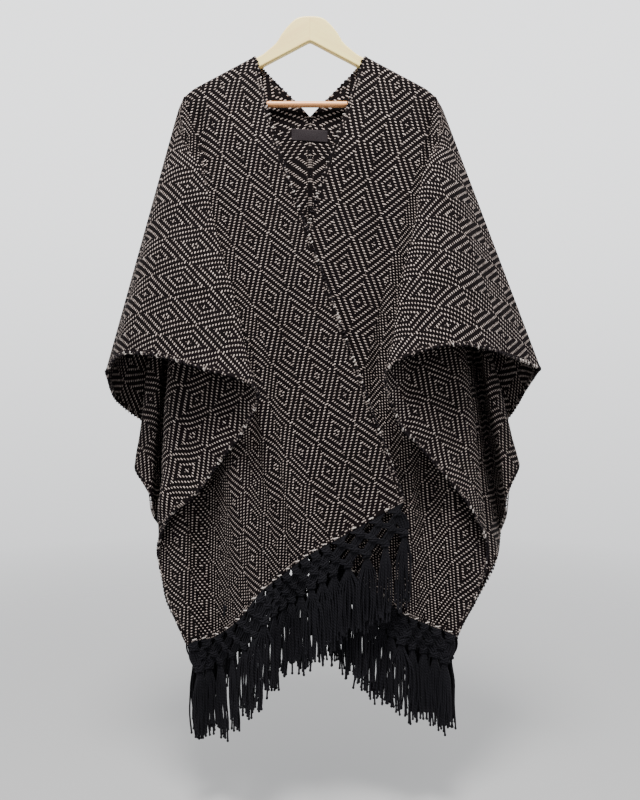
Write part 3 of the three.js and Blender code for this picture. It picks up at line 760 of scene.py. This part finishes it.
def crease_height(side, cut):
    """Height of the pressed creases: each is its rise times exp(-(distance from its line / width)^2),
    fading at the line's ends as a sine. Slow sine ripples lie under them, and all die away near the
    hems and the shoulder tip."""
    u, v = cut[:, 0], cut[:, 1]
    height = sum(rise * np.sin(u / wide + v / tall + shift) for rise, wide, tall, shift in RIPPLES)
    for which, u0, v0, u1, v1, width, rise in CREASES:
        if which != side:
            continue
        du, dv = u1 - u0, v1 - v0
        t = np.clip(((u - u0) * du + (v - v0) * dv) / (du * du + dv * dv), 0, 1)
        away = np.hypot(u - u0 - t * du, v - v0 - t * dv)
        height += rise * np.exp(-(away / width) ** 2) * np.sin(math.pi * (0.08 + 0.84 * t))
    ripple = 1.6 * np.sin(v / 19 + 0.7 * np.sin(v / 61)) * smooth_step(PANEL_WIDTH - 45, PANEL_WIDTH, u)
    ripple += 0.9 * np.sin(v / 23) * (1 - smooth_step(0, 30, u)) * (v > 160)
    calm = smooth_step(0, 60, HALF_LENGTH - np.abs(v)) * smooth_step(12, 60, np.abs(v))
    tip = smooth_step(10, 55, np.hypot(u - SHOULDER, v))
    return (height + ripple) * calm * tip


def length_shares(reach, steps):
    """Shares of a ray: t^1.15, which is closer together near the shoulder, and then the shares at
    set distances from its end."""
    base = (np.arange(steps) / (steps - 1)) ** 1.15
    reach = np.asarray(reach, float)[..., None]
    return np.concatenate([base * (1 - ROWS_END / reach), 1 - EDGE_INSETS / reach], -1)


def panel_surface(side):
    """Middle surface of one panel: bend, body and sleeve of its front and back layers, each a grid
    of two shares. The sleeve's first point of each ray is put on the bend's own row of points."""
    patches = []
    across = np.concatenate([EDGE_INSETS[::-1] / SHOULDER, np.linspace(0.09, 1, 30)])
    edges = np.linspace(0, HEM_END, 170)
    edges = np.sort(np.concatenate([edges, [HALF_LENGTH - 3, HALF_LENGTH]]))
    flip_side = np.array([1 if side == "right" else -1, 1, 1])
    for face_name in ("front", "back"):
        layer = Layer(f"{side}_{face_name}")
        flip = layer.side * layer.face > 0
        turns = np.linspace(0, 1, 9)
        grid_across, grid_turn = np.meshgrid(across, turns, indexing="ij")
        bend = bend_point(grid_across, grid_turn, layer.face)
        bend_cut = np.stack([grid_across * SHOULDER, grid_turn * BEND_LENGTH * -layer.face], -1)
        shares = length_shares(HALF_LENGTH, 72)
        grid_across, grid_share = np.meshgrid(across, shares, indexing="ij")
        body = layer.body(grid_across, grid_share)
        body_cut = layer.body_cut(grid_across, grid_share)
        out, down = cut_point(edges)
        grid_share = length_shares(np.hypot(out, down), 72)
        grid_edge = np.broadcast_to(edges[:, None], grid_share.shape)
        sleeve = layer.sleeve(grid_edge, grid_share)
        on_bend = np.round(np.arctan2(down, out) / (math.pi / 2) * 8) / 8
        sleeve[:, 0] = bend_point(1, on_bend, layer.face)
        sleeve_cut = layer.sleeve_cut(grid_edge, grid_share)
        sleeve_cut[:, 0, 0] = SHOULDER
        sleeve_cut[:, 0, 1] = on_bend * BEND_LENGTH * -layer.face
        for grid, cut, turned in ((bend, bend_cut, flip), (body, body_cut, flip),
                                  (sleeve, sleeve_cut, not flip)):
            faces = grid_faces(*grid.shape[:2], flip=turned)
            patches.append((grid.reshape(-1, 3) * flip_side, cut.reshape(-1, 2), faces))
    return join_patches(patches)


def edge_bead(cut, wall, edge_wall):
    """Half thickness of the cloth: half the wall, and along selvedges and hems a rounded bead of
    height (1 - t^2)^0.5 across its width. It is plain at the sewn seam."""
    u, v = cut[:, 0], cut[:, 1]
    inner = np.where(v < -SEAM_TOP, np.inf, u)
    inset = np.minimum(np.minimum(inner, PANEL_WIDTH - u), HALF_LENGTH - np.abs(v))
    bead = np.sqrt(np.clip(1 - ((inset - BEAD_INSET) / BEAD_HALF_WIDTH) ** 2, 0, 1))
    return wall / 2 + (edge_wall - wall) / 2 * bead


def make_panel(side, cloth, material):
    """One panel: its middle surface with creases pressed in, sagging off the shoulder tip, and its
    wall, which ends at the middle plane along the sewn seam."""
    sign = 1 if side == "right" else -1
    points, cut, faces = panel_surface(side)
    normals = surface_normals(points, faces)
    points = points + normals * crease_height(side, cut)[:, None]
    sag = np.exp(-(np.hypot(cut[:, 0] - SHOULDER, cut[:, 1]) / SAG_REACH) ** 2)
    points = points + sag[:, None] * np.array([-SAG_INWARD * sign, 0, -SAG_DOWN])
    half = edge_bead(cut, cloth.wall / MM, cloth.edge_wall / MM)
    moved, walls = shell(points, faces, half)
    at_seam = (np.tile(cut[:, 0], 2) < 2) & (np.tile(cut[:, 1], 2) < -SEAM_TOP)
    moved[at_seam, 0] = SEAM_GAP_HALF * sign
    placed = cut + np.array([0, HALF_LENGTH])
    obj = make_mesh(f"cloth_{side}", moved, walls, material, cut=placed)
    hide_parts(f"panel_{side}")


def ranks(number):
    """Places of a number of yarns side by side, evenly between -1 and 1."""
    return (np.arange(number) - (number - 1) / 2)[:, None] / (number / 2)


def in_and_out(number):
    """1 for every other yarn and -1 for those between."""
    return np.where(np.arange(number) % 2 == 0, 1, -1)[:, None]


class Fringe:
    """Knots, net and tassels below one hem, in millimetres. There are as many yarns in a bundle as
    ends; a knot is four turns of yarn, each with its lift, tilt and half width; tassels near both
    ends of the hem fill a smaller share of their bundle's width."""

    ends, rows = 14, 3
    outer_margin, inner_margin = 1.5, 2.3
    knot_half_height, first_drop, in_plane = 3.6, 11.0, 50
    knot_turns = ((-2.7, 0.35, 6.4), (-0.9, -0.4, 7.6), (0.9, 0.4, 7.6), (2.7, -0.3, 6.4))
    knot_depth = 4.2
    sway, sway_length = 4, 57
    gather, gather_length, gather_start, gather_full = 13, 45, 5, 60
    ribbon_at_knot, ribbon_bulge = 5.4, 4.8
    tassel_fill, tassel_fill_near_ends = 0.59, 0.35
    near_outer_end, near_inner_end = 150, 70

    def __init__(self, name, settings):
        self.layer = Layer(name)
        self.random = np.random.default_rng(7 + FRINGES.index(name))
        self.bundles = settings.bundles
        self.row_drop = settings.row_drop / MM
        self.tassel = settings.tassel / MM
        self.radius = settings.yarn_radius / MM
        self.pitch = (PANEL_WIDTH - self.outer_margin - self.inner_margin) / self.bundles

    def place(self, along, down, outward=0.0, sideways=0.0):
        """Points below the hem: in the cloth's own direction first, then straight down, swaying,
        and drawn in at the selvedge corner."""
        along, down, outward, sideways = np.broadcast_arrays(along, down, outward, sideways)
        kept = np.clip(along, self.outer_margin, PANEL_WIDTH - self.inner_margin)
        point, fall, out = self.layer.hem_frame(kept)
        in_plane = np.minimum(down, self.in_plane)
        below = down - in_plane
        across = unit(np.cross(fall, out))
        moved = point + fall * in_plane[..., None] + out * outward[..., None] + across * sideways[..., None]
        moved[..., 2] -= below
        moved[..., 0] += self.sway * np.sin(kept / self.sway_length) * below / self.tassel
        drawn = smooth_step(self.gather_start, self.gather_full, down)
        gather = self.gather * drawn * np.exp(-(kept / self.gather_length) ** 2)
        moved[..., 0] -= self.layer.side * gather
        return moved

    def outward_at(self, along):
        """Way out of the cloth at the hem, taken a little inside its ends."""
        return self.layer.hem_frame(np.clip(along, 4, PANEL_WIDTH - 4))[2]

    def knots(self, row):
        """Along and down of the knots of one row; odd rows stand between the even ones."""
        columns = self.bundles - row % 2
        along = self.outer_margin + self.pitch * (np.arange(columns) + (0.5 if row % 2 == 0 else 1))
        return along, self.first_drop + row * self.row_drop

    def strands(self, start, end, drop_start, drop_end, yarns=8, steps=6):
        """Half a bundle from knot to knot: along follows 3t^2 - 2t^3, and its yarns lie side by side
        in a ribbon that is widest midway."""
        t = np.linspace(0, 1, steps)
        bend = t * t * (3 - 2 * t)
        along = start[:, None, None] + (end - start)[:, None, None] * bend
        down = drop_start + (drop_end - drop_start) * t
        wide = self.ribbon_at_knot + self.ribbon_bulge * np.sin(math.pi * t)
        uneven = self.random.uniform(-0.5, 0.5, (2, len(start), yarns, 1))
        depth = in_and_out(yarns) * 0.9 + uneven[0]
        paths = self.place(along, down, depth, ranks(yarns) * wide + uneven[1])
        return tubes(paths, self.radius, self.outward_at(along))

    def net(self):
        """The yarns of each bundle from the hem to its first knot, and the halves of the bundles
        that cross from knot to knot below; single halves run down both ends of the net."""
        groups = []
        half = self.knot_half_height
        along, drop = self.knots(0)
        steps = np.linspace(0, 1, 5)
        ends = (np.arange(self.ends) - (self.ends - 1) / 2) / self.ends
        from_hem = along[:, None] + ends * self.pitch * 0.98
        to_knot = along[:, None] + ends * 8
        run = from_hem[..., None] + (to_knot - from_hem)[..., None] * steps ** 1.5
        bulge = in_and_out(self.ends) * 1.1 * steps
        paths = self.place(run, -1.5 + (drop - half + 2.5) * steps, bulge)
        groups.append(tubes(paths, self.radius, self.outward_at(run)))
        for row in range(self.rows - 1):
            here, drop = self.knots(row)
            below, next_drop = self.knots(row + 1)
            if row % 2 == 0:
                pairs = [(here[1:], below), (here[:-1], below)]
                edge = np.array([here[0] - 4, here[-1] + 4])
                groups.append(self.strands(edge, edge, drop + half - 1,
                                           self.knots(row + 2)[1] - half, steps=8))
            else:
                pairs = [(here, below[1:]), (here, below[:-1])]
            for start, end in pairs:
                lean = np.sign(end - start) * 2
                groups.append(self.strands(start + lean, end - lean, drop + half - 1.5,
                                           next_drop - half + 1.5))
        return groups

    def knot_rings(self):
        """Each knot: four ovals of yarn round the bundle, half width * cos a by depth * sin a, tilted
        in turn to either side."""
        angle = np.arange(12) * math.tau / 12
        groups = []
        for row in range(self.rows):
            along, drop = self.knots(row)
            for lift, tilt, width in self.knot_turns:
                uneven = self.random.uniform(0.9, 1.12, (len(along), 1))
                sideways = width * np.cos(angle) * uneven
                outward = self.knot_depth * np.sin(angle) * uneven
                down = drop + lift + tilt * sideways
                paths = self.place(along[:, None], down, outward, sideways)
                fall = self.layer.hem_frame(along)[1][:, None]
                groups.append(tubes(paths, self.radius * 1.08, fall, closed=True))
        return groups

    def tassels(self):
        """Loose yarns below the last knots: they spread by 3t^2 - 2t^3 as they leave the knot, sway as
        sines of their length, and each ends in a knotted tip."""
        along, drop = self.knots(self.rows - 1)
        count, steps = len(along), 13
        t = np.linspace(0, 1, steps)
        shape = (count, self.ends, 1)
        each = (count, 1, 1)
        length = self.tassel * self.random.uniform(0.84, 1.06, shape)
        length = length * self.random.uniform(0.92, 1.06, each)
        down = drop + self.knot_half_height - 1.5 + length * t
        opened = smooth_step(0, 0.4, t)
        near_ends = (along < self.near_outer_end) | (along > PANEL_WIDTH - self.near_inner_end)
        fill = np.where(near_ends, self.tassel_fill_near_ends, self.tassel_fill)
        fill = fill + self.random.uniform(-0.05, 0.05, count)
        reach = self.random.uniform(0.85, 1.1, shape) * self.pitch * fill.reshape(each)
        wave = self.random.uniform(0, math.tau, (2, *shape))
        size = self.random.uniform(0.6, 2.6, (2, *shape)) * smooth_step(0.1, 0.9, t)
        sideways = ranks(self.ends) * (3.4 + (reach - 3.4) * opened) + size[0] * np.sin(wave[0] + 7 * t)
        depth = in_and_out(self.ends) * self.random.uniform(0.9, 2.4, shape)
        outward = depth * (0.8 + 0.4 * opened) + size[1] * 0.8 * np.sin(wave[1] + 6 * t)
        paths = self.place(along[:, None, None], down, outward, sideways)
        paths = paths.reshape(count * self.ends, steps, 3)
        radii = np.full((count * self.ends, steps), self.radius)
        tip = paths[:, -1:] + (paths[:, -1:] - paths[:, -2:-1]) * np.array([0.14, 0.3, 0.4])[:, None]
        paths = np.concatenate([paths, tip], 1)
        swell = np.broadcast_to(np.array([1.4, 1.35, 0.7]) * self.radius, (len(radii), 3))
        radii = np.concatenate([radii, swell], 1)
        reference = self.outward_at(np.repeat(along, self.ends))[:, None]
        return [tubes(paths, radii, reference)]

    def build(self, material):
        """Make the whole fringe as one piece, in place of its solid."""
        groups = self.net() + self.knot_rings() + self.tassels()
        obj = make_yarns(f"yarn_{self.layer.name}", groups, material)
        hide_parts(NODE_OF_FRINGE[self.layer.name])


def stitch_paths(centres, along, outward, length, lift):
    """Short stitches: an arch of height lift * (1 - t^4) over the cloth, with its ends in the cloth."""
    t = np.linspace(-1, 1, 6)
    arch = lift * (1 - t ** 4) - 0.9
    return centres[:, None] + along[:, None] * (t * length / 2)[:, None] + outward[:, None] * arch[:, None]


def hem_dashes(material):
    """A row of light running stitches just above each hem, on its outer face."""
    groups = []
    first, spacing, last, uneven = 18, 34.0, PANEL_WIDTH - 12, 5
    above_hem, off_middle, length, radius = 3.2, 1.9, 8.5, 1.25
    random = np.random.default_rng(31)
    for name in FRINGES:
        layer = Layer(name)
        places = np.arange(first, last, spacing)
        places = places + random.uniform(-uneven, uneven, len(places))
        point, fall, outward = layer.hem_frame(places)
        sideways = unit(np.cross(fall, outward) + fall * random.uniform(-0.15, 0.15, (len(places), 1)))
        centre = point - fall * above_hem + outward * off_middle
        paths = stitch_paths(centre, sideways, outward, length, lift=0.9)
        groups.append(tubes(paths, radius, outward[:, None]))
    make_yarns("hem_stitches", groups, material)


def edge_frames(layer):
    """Points every 7 mm along a layer's free edges, with the way into the cloth and its normal."""
    step = 7.0
    runs = np.arange(3.5, HALF_LENGTH - 4, step)
    outer = layer.sleeve(runs, 1.0)
    outer_in = unit(layer.sleeve(runs, 1 - 8 / np.hypot(SLEEVE_WIDTH, runs)) - outer)
    outer_along = unit(layer.sleeve(runs + 2, 1.0) - outer)
    last = HALF_LENGTH if layer.face < 0 else 118
    shares = np.arange(3.5, last - BEND_LENGTH - 4, step) / (HALF_LENGTH - BEND_LENGTH)
    none = np.zeros(len(shares))
    inner = layer.body(none, shares)
    inner_in = unit(layer.body(none + 0.05, shares) - inner)
    inner_along = unit(layer.body(none, shares + 0.003) - inner)
    flip = np.array([layer.side, 1, 1])
    point, into = np.concatenate([outer, inner]) * flip, np.concatenate([outer_in, inner_in]) * flip
    along = np.concatenate([outer_along, inner_along]) * flip
    return point, into, unit(np.cross(into, along)), along


def edge_turns(dark, light):
    """Weft yarns where they turn round each free edge: arcs over its rim from -100 to 100 degrees,
    reach * cos a by depth * sin a, some of them light ones."""
    random = np.random.default_rng(5)
    groups = {"edge_turns": [], "light_edge_turns": []}
    angle = np.radians(np.linspace(-100, 100, 6))
    inset, half_depth, radius = 2.4, 2.3, 1.15
    for name in FRINGES:
        point, into, normal, along = edge_frames(Layer(name))
        slant = random.uniform(0.6, 2.0, (len(point), 1))
        reach = random.uniform(3.4, 4.6, (len(point), 1))
        paths = (point[:, None] + into[:, None] * (inset - reach * np.cos(angle))[..., None]
                 + normal[:, None] * (half_depth * np.sin(angle))[:, None]
                 + along[:, None] * (slant * np.sin(angle))[..., None])
        is_light = random.uniform(0, 1, len(point)) < LIGHT_TURN_SHARE
        for piece, chosen in (("edge_turns", ~is_light), ("light_edge_turns", is_light)):
            groups[piece].append(tubes(paths[chosen], radius, along[chosen, None]))
    for name, material in (("edge_turns", dark), ("light_edge_turns", light)):
        make_yarns(name, groups[name], material)


def seam_stitches(material):
    """Slanted whip stitches over the centre back seam, outside and inside."""
    layer = Layer("right_back")
    shares = np.arange(0.15, 0.995, 0.0105)
    off_middle, slope, length, radius = 0.9, 0.75, 6.5, 0.8
    sideways, in_middle = np.array([1.0, 0, 0]), np.array([0, 1, 1])
    point = layer.body(np.zeros(len(shares)), shares) * in_middle
    ahead = layer.body(np.zeros(len(shares)), shares + 0.004) * in_middle
    down = unit(ahead - point)
    groups = []
    for face in (1, -1):
        outward = unit(np.cross(down, sideways))
        outward *= np.where(outward[:, 1:2] * face < 0, -1, 1)
        slant = unit(sideways + down * slope * face)
        paths = stitch_paths(point + outward * off_middle, slant, outward, length, lift=0.9)
        groups.append(tubes(paths, radius, outward[:, None]))
    make_yarns("seam_stitches", groups, material)


def label_surface(x, z):
    """Place on the inner face of the back panels at a given x and z, found by halving."""
    found = np.zeros(x.shape + (3,))
    for side in (-1, 1):
        layer = Layer("left_back" if side < 0 else "right_back")
        low, high = np.full(x.shape, 0.1), np.full(x.shape, 0.4)
        for _ in range(22):
            share = (low + high) / 2
            outer = layer.body(1.0, share)[..., 0]
            place = layer.body(np.abs(x) / outer, share)
            above = place[..., 2] > z
            low, high = np.where(above, share, low), np.where(above, high, share)
        found = np.where((np.sign(x) == side)[..., None] | (x == 0)[..., None], place, found)
    return found


def make_label(material, thread):
    """Bare ribbon across the seam: the inner face of the back moved in, and bowed by
    (1 - s^2)(1 - t^2) between its sewn ends, with a row of stitches at each."""
    half_length, top, bottom, middle = 33.0, -198.0, -219.0, -1
    lean, cloth_half, lift, half_wall, stitch_inset = 0.06, 1.25, 1.0, 0.45, 2.5
    s, t = np.meshgrid(np.linspace(-1, 1, 45), np.linspace(0, 1, 13), indexing="ij")
    x = s * half_length + middle
    z = top + (bottom - top) * t - lean * x
    place = label_surface(x, z)
    bow = 1.0 * (1 - s ** 2) * (1 - (2 * t - 1) ** 2) + 0.5 * np.abs(2 * t - 1) ** 3
    y = place[..., 1] - cloth_half - lift - bow
    points = np.stack([x, y, z], -1).reshape(-1, 3)
    cut = np.stack([s * half_length, t * (top - bottom)], -1).reshape(-1, 2)
    moved, faces = shell(points, grid_faces(*s.shape), np.full(len(points), half_wall))
    obj = make_mesh("ribbon_label", moved, faces, material, cut=cut)
    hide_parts("neck_label")
    ends = np.array([-1, 1]) * (half_length - stitch_inset) + middle
    heights = np.linspace(top - stitch_inset, bottom + stitch_inset, 6)
    side, row = np.meshgrid(ends, heights, indexing="ij")
    side, row = side.ravel(), row.ravel()
    row = row - lean * side
    centre = label_surface(side, row)
    centre = np.stack([side, centre[:, 1] - cloth_half - 1.5, row], -1)
    outward = np.broadcast_to([0.0, -1, 0], centre.shape)
    across = np.broadcast_to(unit(np.array([1.0, 0, -lean])), centre.shape)
    paths = stitch_paths(centre, across, outward, 3.2, lift=0.7)
    make_yarns("label_stitches", [tubes(paths, 0.4, outward[:, None])], thread)


def hanger_outline():
    """The board's outline: a cubic through the arch's points, straight arms, a cubic round each end,
    and a pointed underside; the left half mirrors the right one."""
    slope = math.tan(ARM_SLOPE)
    arch = np.array([(-22, -3), (0, 0), (22, -3), (36, -14), (50, -31), (60, -47), (73, -59),
                     (84, -68), (98, ARM_START_Z - 14 * slope)], float)
    at = np.concatenate([[0], np.cumsum(np.linalg.norm(np.diff(arch, axis=0), axis=1))])
    curve = curve_through(at, arch, np.linspace(at[1], at[-1], 60))
    tip_z = ARM_START_Z - (ARM_TIP_X - 6 - ARM_START_X) * slope
    end = np.array([(ARM_TIP_X - 6, tip_z), (ARM_TIP_X, tip_z - 8), (ARM_TIP_X, BAR_Z - 2),
                    (ARM_TIP_X - 6, BAR_Z - 10), (ARM_TIP_X - 15, BAR_Z - 11),
                    (ARM_TIP_X - 24, BAR_Z - 5), (ARM_TIP_X - 34, -144)], float)
    at = np.concatenate([[0], np.cumsum(np.linalg.norm(np.diff(end, axis=0), axis=1))])
    round_end = curve_through(at, end, np.linspace(0, at[-1], 36))
    arm = np.linspace(curve[-1], round_end[0], 14)[1:-1]
    under = np.linspace(round_end[-1], (85, -90), 14)[1:-1]
    apex = np.array([(85, -90), (70, -82), (24, -57.8), (9, -49.8), (3, -46.8), (0, -46)], float)
    right = np.concatenate([curve, arm, round_end, under, apex])
    left = right[1:-1][::-1] * np.array([-1, 1])
    return np.concatenate([right, left])


def make_hanger(settings, material):
    """Board with rounded edges: the outline moved in by r(1 - cos a) as it comes forward by r sin a."""
    outline = hanger_outline()
    step = np.roll(outline, -1, 0) - np.roll(outline, 1, 0)
    normal = unit(np.stack([step[:, 1], -step[:, 0]], -1))
    radius = settings.rounding / MM
    half = ARM_HALF_THICK
    angle = np.linspace(0, math.pi / 2, 6)
    inset = np.concatenate([radius * (1 - np.cos(angle))[::-1], radius * (1 - np.cos(angle))])
    depth = np.concatenate([-(half - radius) - radius * np.sin(angle)[::-1],
                            half - radius + radius * np.sin(angle)])
    rings = outline[None] + normal[None] * inset[:, None, None]
    points = np.stack([rings[..., 0], np.broadcast_to(depth[:, None], rings.shape[:2]), rings[..., 1]], -1)
    rows, count = len(depth), len(outline)
    first, beside = ring_neighbours(rows, count)
    quads = np.stack([first, beside, beside + count, first + count], 1).tolist()
    front, back = list(range(count)), [(rows - 1) * count + k for k in range(count)]
    obj = add_mesh("hanger_board", points.reshape(-1, 3), quads + [front[::-1], back], material)
    for flat_face in (len(quads), len(quads) + 1):
        obj.data.polygons[flat_face].use_smooth = False
    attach(obj, "root")
    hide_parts("hanger_body")


def make_bar(settings, material):
    """A turned bar: a round section carried from end to end, with radius r * (1 - 0.03 t^8), so that
    it thins a little at both ends."""
    half_length, steps, sides = 208, 40, 36
    t = np.linspace(-1, 1, steps + 1)
    path = np.stack([t * half_length, np.zeros(steps + 1), np.full(steps + 1, BAR_Z)], -1)[None]
    radii = settings.bar_radius / MM * (1 - 0.03 * t[None] ** 8)
    points, faces, _ = tubes(path, radii, np.array([0, 0, 1.0]), sides=sides)
    faces = faces[:steps * sides]
    caps = [list(range(sides))[::-1], [steps * sides + k for k in range(sides)]]
    obj = add_mesh("bar", points, faces.tolist() + caps, material)
    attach(obj, "root")
    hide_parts("trouser_bar")


def make_floor(colour):
    """A round pale floor below the fringe, of rings whose radius is t^1.5 of its own; it fades out
    towards its rim."""
    rings, count = 24, 96
    level = CAD_BOX[0][2] - FLOOR_DROP
    radius = np.linspace(0.001, 1, rings) ** 1.5 * FLOOR_RADIUS
    angle = np.linspace(0, math.tau, count + 1)[:-1]
    points = np.stack([radius[:, None] * np.cos(angle), radius[:, None] * np.sin(angle),
                       np.full((rings, count), level)], -1)
    first, beside = ring_neighbours(rings, count)
    quads = np.stack([first, first + count, beside + count, beside], 1)
    faces = quads.tolist() + [list(range(count))]
    obj = add_mesh("floor", points.reshape(-1, 3), faces, floor_finish(colour), scale=1)


def make_sky():
    """Soft light from all round: in front (A) bright above and dim below, behind (B) more even."""
    world = bpy.data.worlds.new("pale sky")
    world.use_nodes = True
    tree = world.node_tree
    place = tree.nodes.new("ShaderNodeTexCoord")
    parts = tree.nodes.new("ShaderNodeSeparateXYZ")
    blend = tree.nodes.new("ShaderNodeMix")
    tree.links.new(place.outputs["Generated"], parts.inputs[0])
    ends = ("From Min", "From Max", "To Min", "To Max")
    ramps = {"Factor": ("Y", -0.1, 0.5, 0, 1), "A": ("Z", -0.5, 0.95, 0.1, 1.8),
             "B": ("Z", -0.5, 0.5, 1.1, 2.45)}
    for target, (axis, *numbers) in ramps.items():
        ramp = tree.nodes.new("ShaderNodeMapRange")
        ramp.interpolation_type = "SMOOTHSTEP"
        for end, value in zip(ends, numbers):
            ramp.inputs[end].default_value = value
        tree.links.new(parts.outputs[axis], ramp.inputs["Value"])
        tree.links.new(ramp.outputs["Result"], blend.inputs[target])
    background = tree.nodes["Background"]
    background.inputs["Color"].default_value = linear(240, 241, 243)
    tree.links.new(blend.outputs[0], background.inputs["Strength"])
    bpy.context.scene.world = world


def add_light(name, place, aim, size, watts, colour=(1, 1, 1)):
    """A round soft light at a place, turned so that its -Z points at the aim."""
    light = bpy.data.lights.new(name, "AREA")
    light.shape = "DISK"
    light.size = size
    light.energy = watts
    light.color = colour
    obj = bpy.data.objects.new(name, light)
    bpy.context.scene.collection.objects.link(obj)
    obj.location = place
    back = unit(np.array(place, float) - np.array(aim, float))
    right = unit(np.cross([0, 0, 1.0], back))
    up = np.cross(back, right)
    turn = np.stack([right, up, back], 1)
    obj.rotation_euler = Matrix(turn.tolist()).to_euler()


class PONCHO_OT_panels(bpy.types.Operator):
    """Make both woven panels, with their stitches and the turns of the weft"""
    bl_idname = "poncho.panels"
    bl_label = "Woven Panels"

    def execute(self, context):
        cloth = context.scene.poncho_cloth
        weave = weave_finish(cloth)
        # The second colour of each yarn is its painted highlight on the ply crests, which random fibre tone
        # also reaches.
        light = yarn_finish("light yarn", linear(150, 140, 134), linear(240, 232, 226))
        dark = yarn_finish("seam yarn", linear(14, 12, 15), linear(48, 42, 46))
        for side in ("left", "right"):
            make_panel(side, cloth, weave)
        hem_dashes(light)
        edge_turns(dark, light)
        seam_stitches(dark)
        return {"FINISHED"}


class PONCHO_OT_fringes(bpy.types.Operator):
    """Make the knotted net and tassels of each hem"""
    bl_idname = "poncho.fringes"
    bl_label = "Knotted Fringes"

    def execute(self, context):
        settings = context.scene.poncho_fringe
        # The second colour is the fringe yarn's painted highlight on the ply crests, which random fibre
        # tone also reaches.
        yarn = yarn_finish("fringe yarn", tuple(settings.yarn), linear(30, 29, 34))
        for name in FRINGES:
            Fringe(name, settings).build(yarn)
        return {"FINISHED"}


class PONCHO_OT_hanger(bpy.types.Operator):
    """Make the hanger's board and its trouser bar"""
    bl_idname = "poncho.hanger"
    bl_label = "Wooden Hanger"

    def execute(self, context):
        settings = context.scene.poncho_hanger
        wood = wood_finish("board wood", tuple(settings.wood), linear(246, 214, 136),
                           linear(190, 140, 96), 9.0)
        make_hanger(settings, wood)
        make_bar(settings, bar_finish(tuple(settings.bar_wood)))
        return {"FINISHED"}


class PONCHO_OT_label(bpy.types.Operator):
    """Make the bare label inside the back neck"""
    bl_idname = "poncho.label"
    bl_label = "Neck Label"

    def execute(self, context):
        ribbon = label_finish(tuple(context.scene.poncho_hanger.label))
        # The second colour is the thread's painted highlight on the ply crests, which random fibre tone
        # also reaches.
        thread = yarn_finish("label thread", linear(30, 24, 28), linear(70, 60, 66))
        make_label(ribbon, thread)
        return {"FINISHED"}


class PONCHO_OT_declare(bpy.types.Operator):
    """Does nothing: no cloth sizes are stated here"""
    bl_idname = "poncho.declare"
    bl_label = "State Cloth Sizes"

    def execute(self, context):
        return {"FINISHED"}


class PONCHO_OT_stage(bpy.types.Operator):
    """Make the pale studio, its soft lights and the camera"""
    bl_idname = "poncho.stage"
    bl_label = "Studio and Camera"

    def execute(self, context):
        settings = context.scene.poncho_stage
        make_floor(tuple(settings.floor))
        make_sky()
        aim = (0, 0, -0.5)
        add_light("top soft light", (-0.1, -1.15, 1.5), aim, size=0.8, watts=116, colour=(1, 0.985, 0.965))
        add_light("back soft light", (0.8, 1.6, 1.2), aim, size=1.3, watts=22)
        centre_x, centre_z = 0.018, -0.689
        camera = bpy.data.cameras.new("camera")
        camera.sensor_fit = "VERTICAL"
        camera.sensor_height = 24
        camera.lens = camera.sensor_height * settings.distance / settings.height
        obj = bpy.data.objects.new("camera", camera)
        context.scene.collection.objects.link(obj)
        obj.location = (centre_x, -settings.distance, centre_z)
        obj.rotation_euler = (math.pi / 2, 0, 0)
        context.scene.camera = obj
        return {"FINISHED"}


class PONCHO_PT_sidebar(bpy.types.Panel):
    bl_label = "Fringed Poncho"
    bl_idname = "PONCHO_PT_sidebar"
    bl_space_type = "VIEW_3D"
    bl_region_type = "UI"
    bl_category = "Poncho"

    def draw(self, context):
        for operator in OPERATORS:
            self.layout.operator(operator.bl_idname)
        for name in SETTINGS:
            box = self.layout.box()
            settings = getattr(context.scene, name)
            for item in settings.bl_rna.properties.keys():
                if item not in ("rna_type", "name"):
                    box.prop(settings, item)


SETTINGS = {
    "poncho_cloth": PonchoClothSettings,
    "poncho_fringe": PonchoFringeSettings,
    "poncho_hanger": PonchoHangerSettings,
    "poncho_stage": PonchoStageSettings,
}
OPERATORS = (PONCHO_OT_panels, PONCHO_OT_fringes, PONCHO_OT_hanger, PONCHO_OT_label,
             PONCHO_OT_declare, PONCHO_OT_stage)
CLASSES = tuple(SETTINGS.values()) + OPERATORS + (PONCHO_PT_sidebar,)


def register():
    for cls in CLASSES:
        bpy.utils.register_class(cls)
    for name, cls in SETTINGS.items():
        setattr(bpy.types.Scene, name, PointerProperty(type=cls))


def unregister():
    for name in SETTINGS:
        delattr(bpy.types.Scene, name)
    for cls in reversed(CLASSES):
        bpy.utils.unregister_class(cls)


def main():
    register()
    bpy.ops.poncho.panels()
    bpy.ops.poncho.fringes()
    bpy.ops.poncho.hanger()
    bpy.ops.poncho.label()
    bpy.ops.poncho.declare()
    bpy.ops.poncho.stage()


if __name__ == "__main__":
    main()
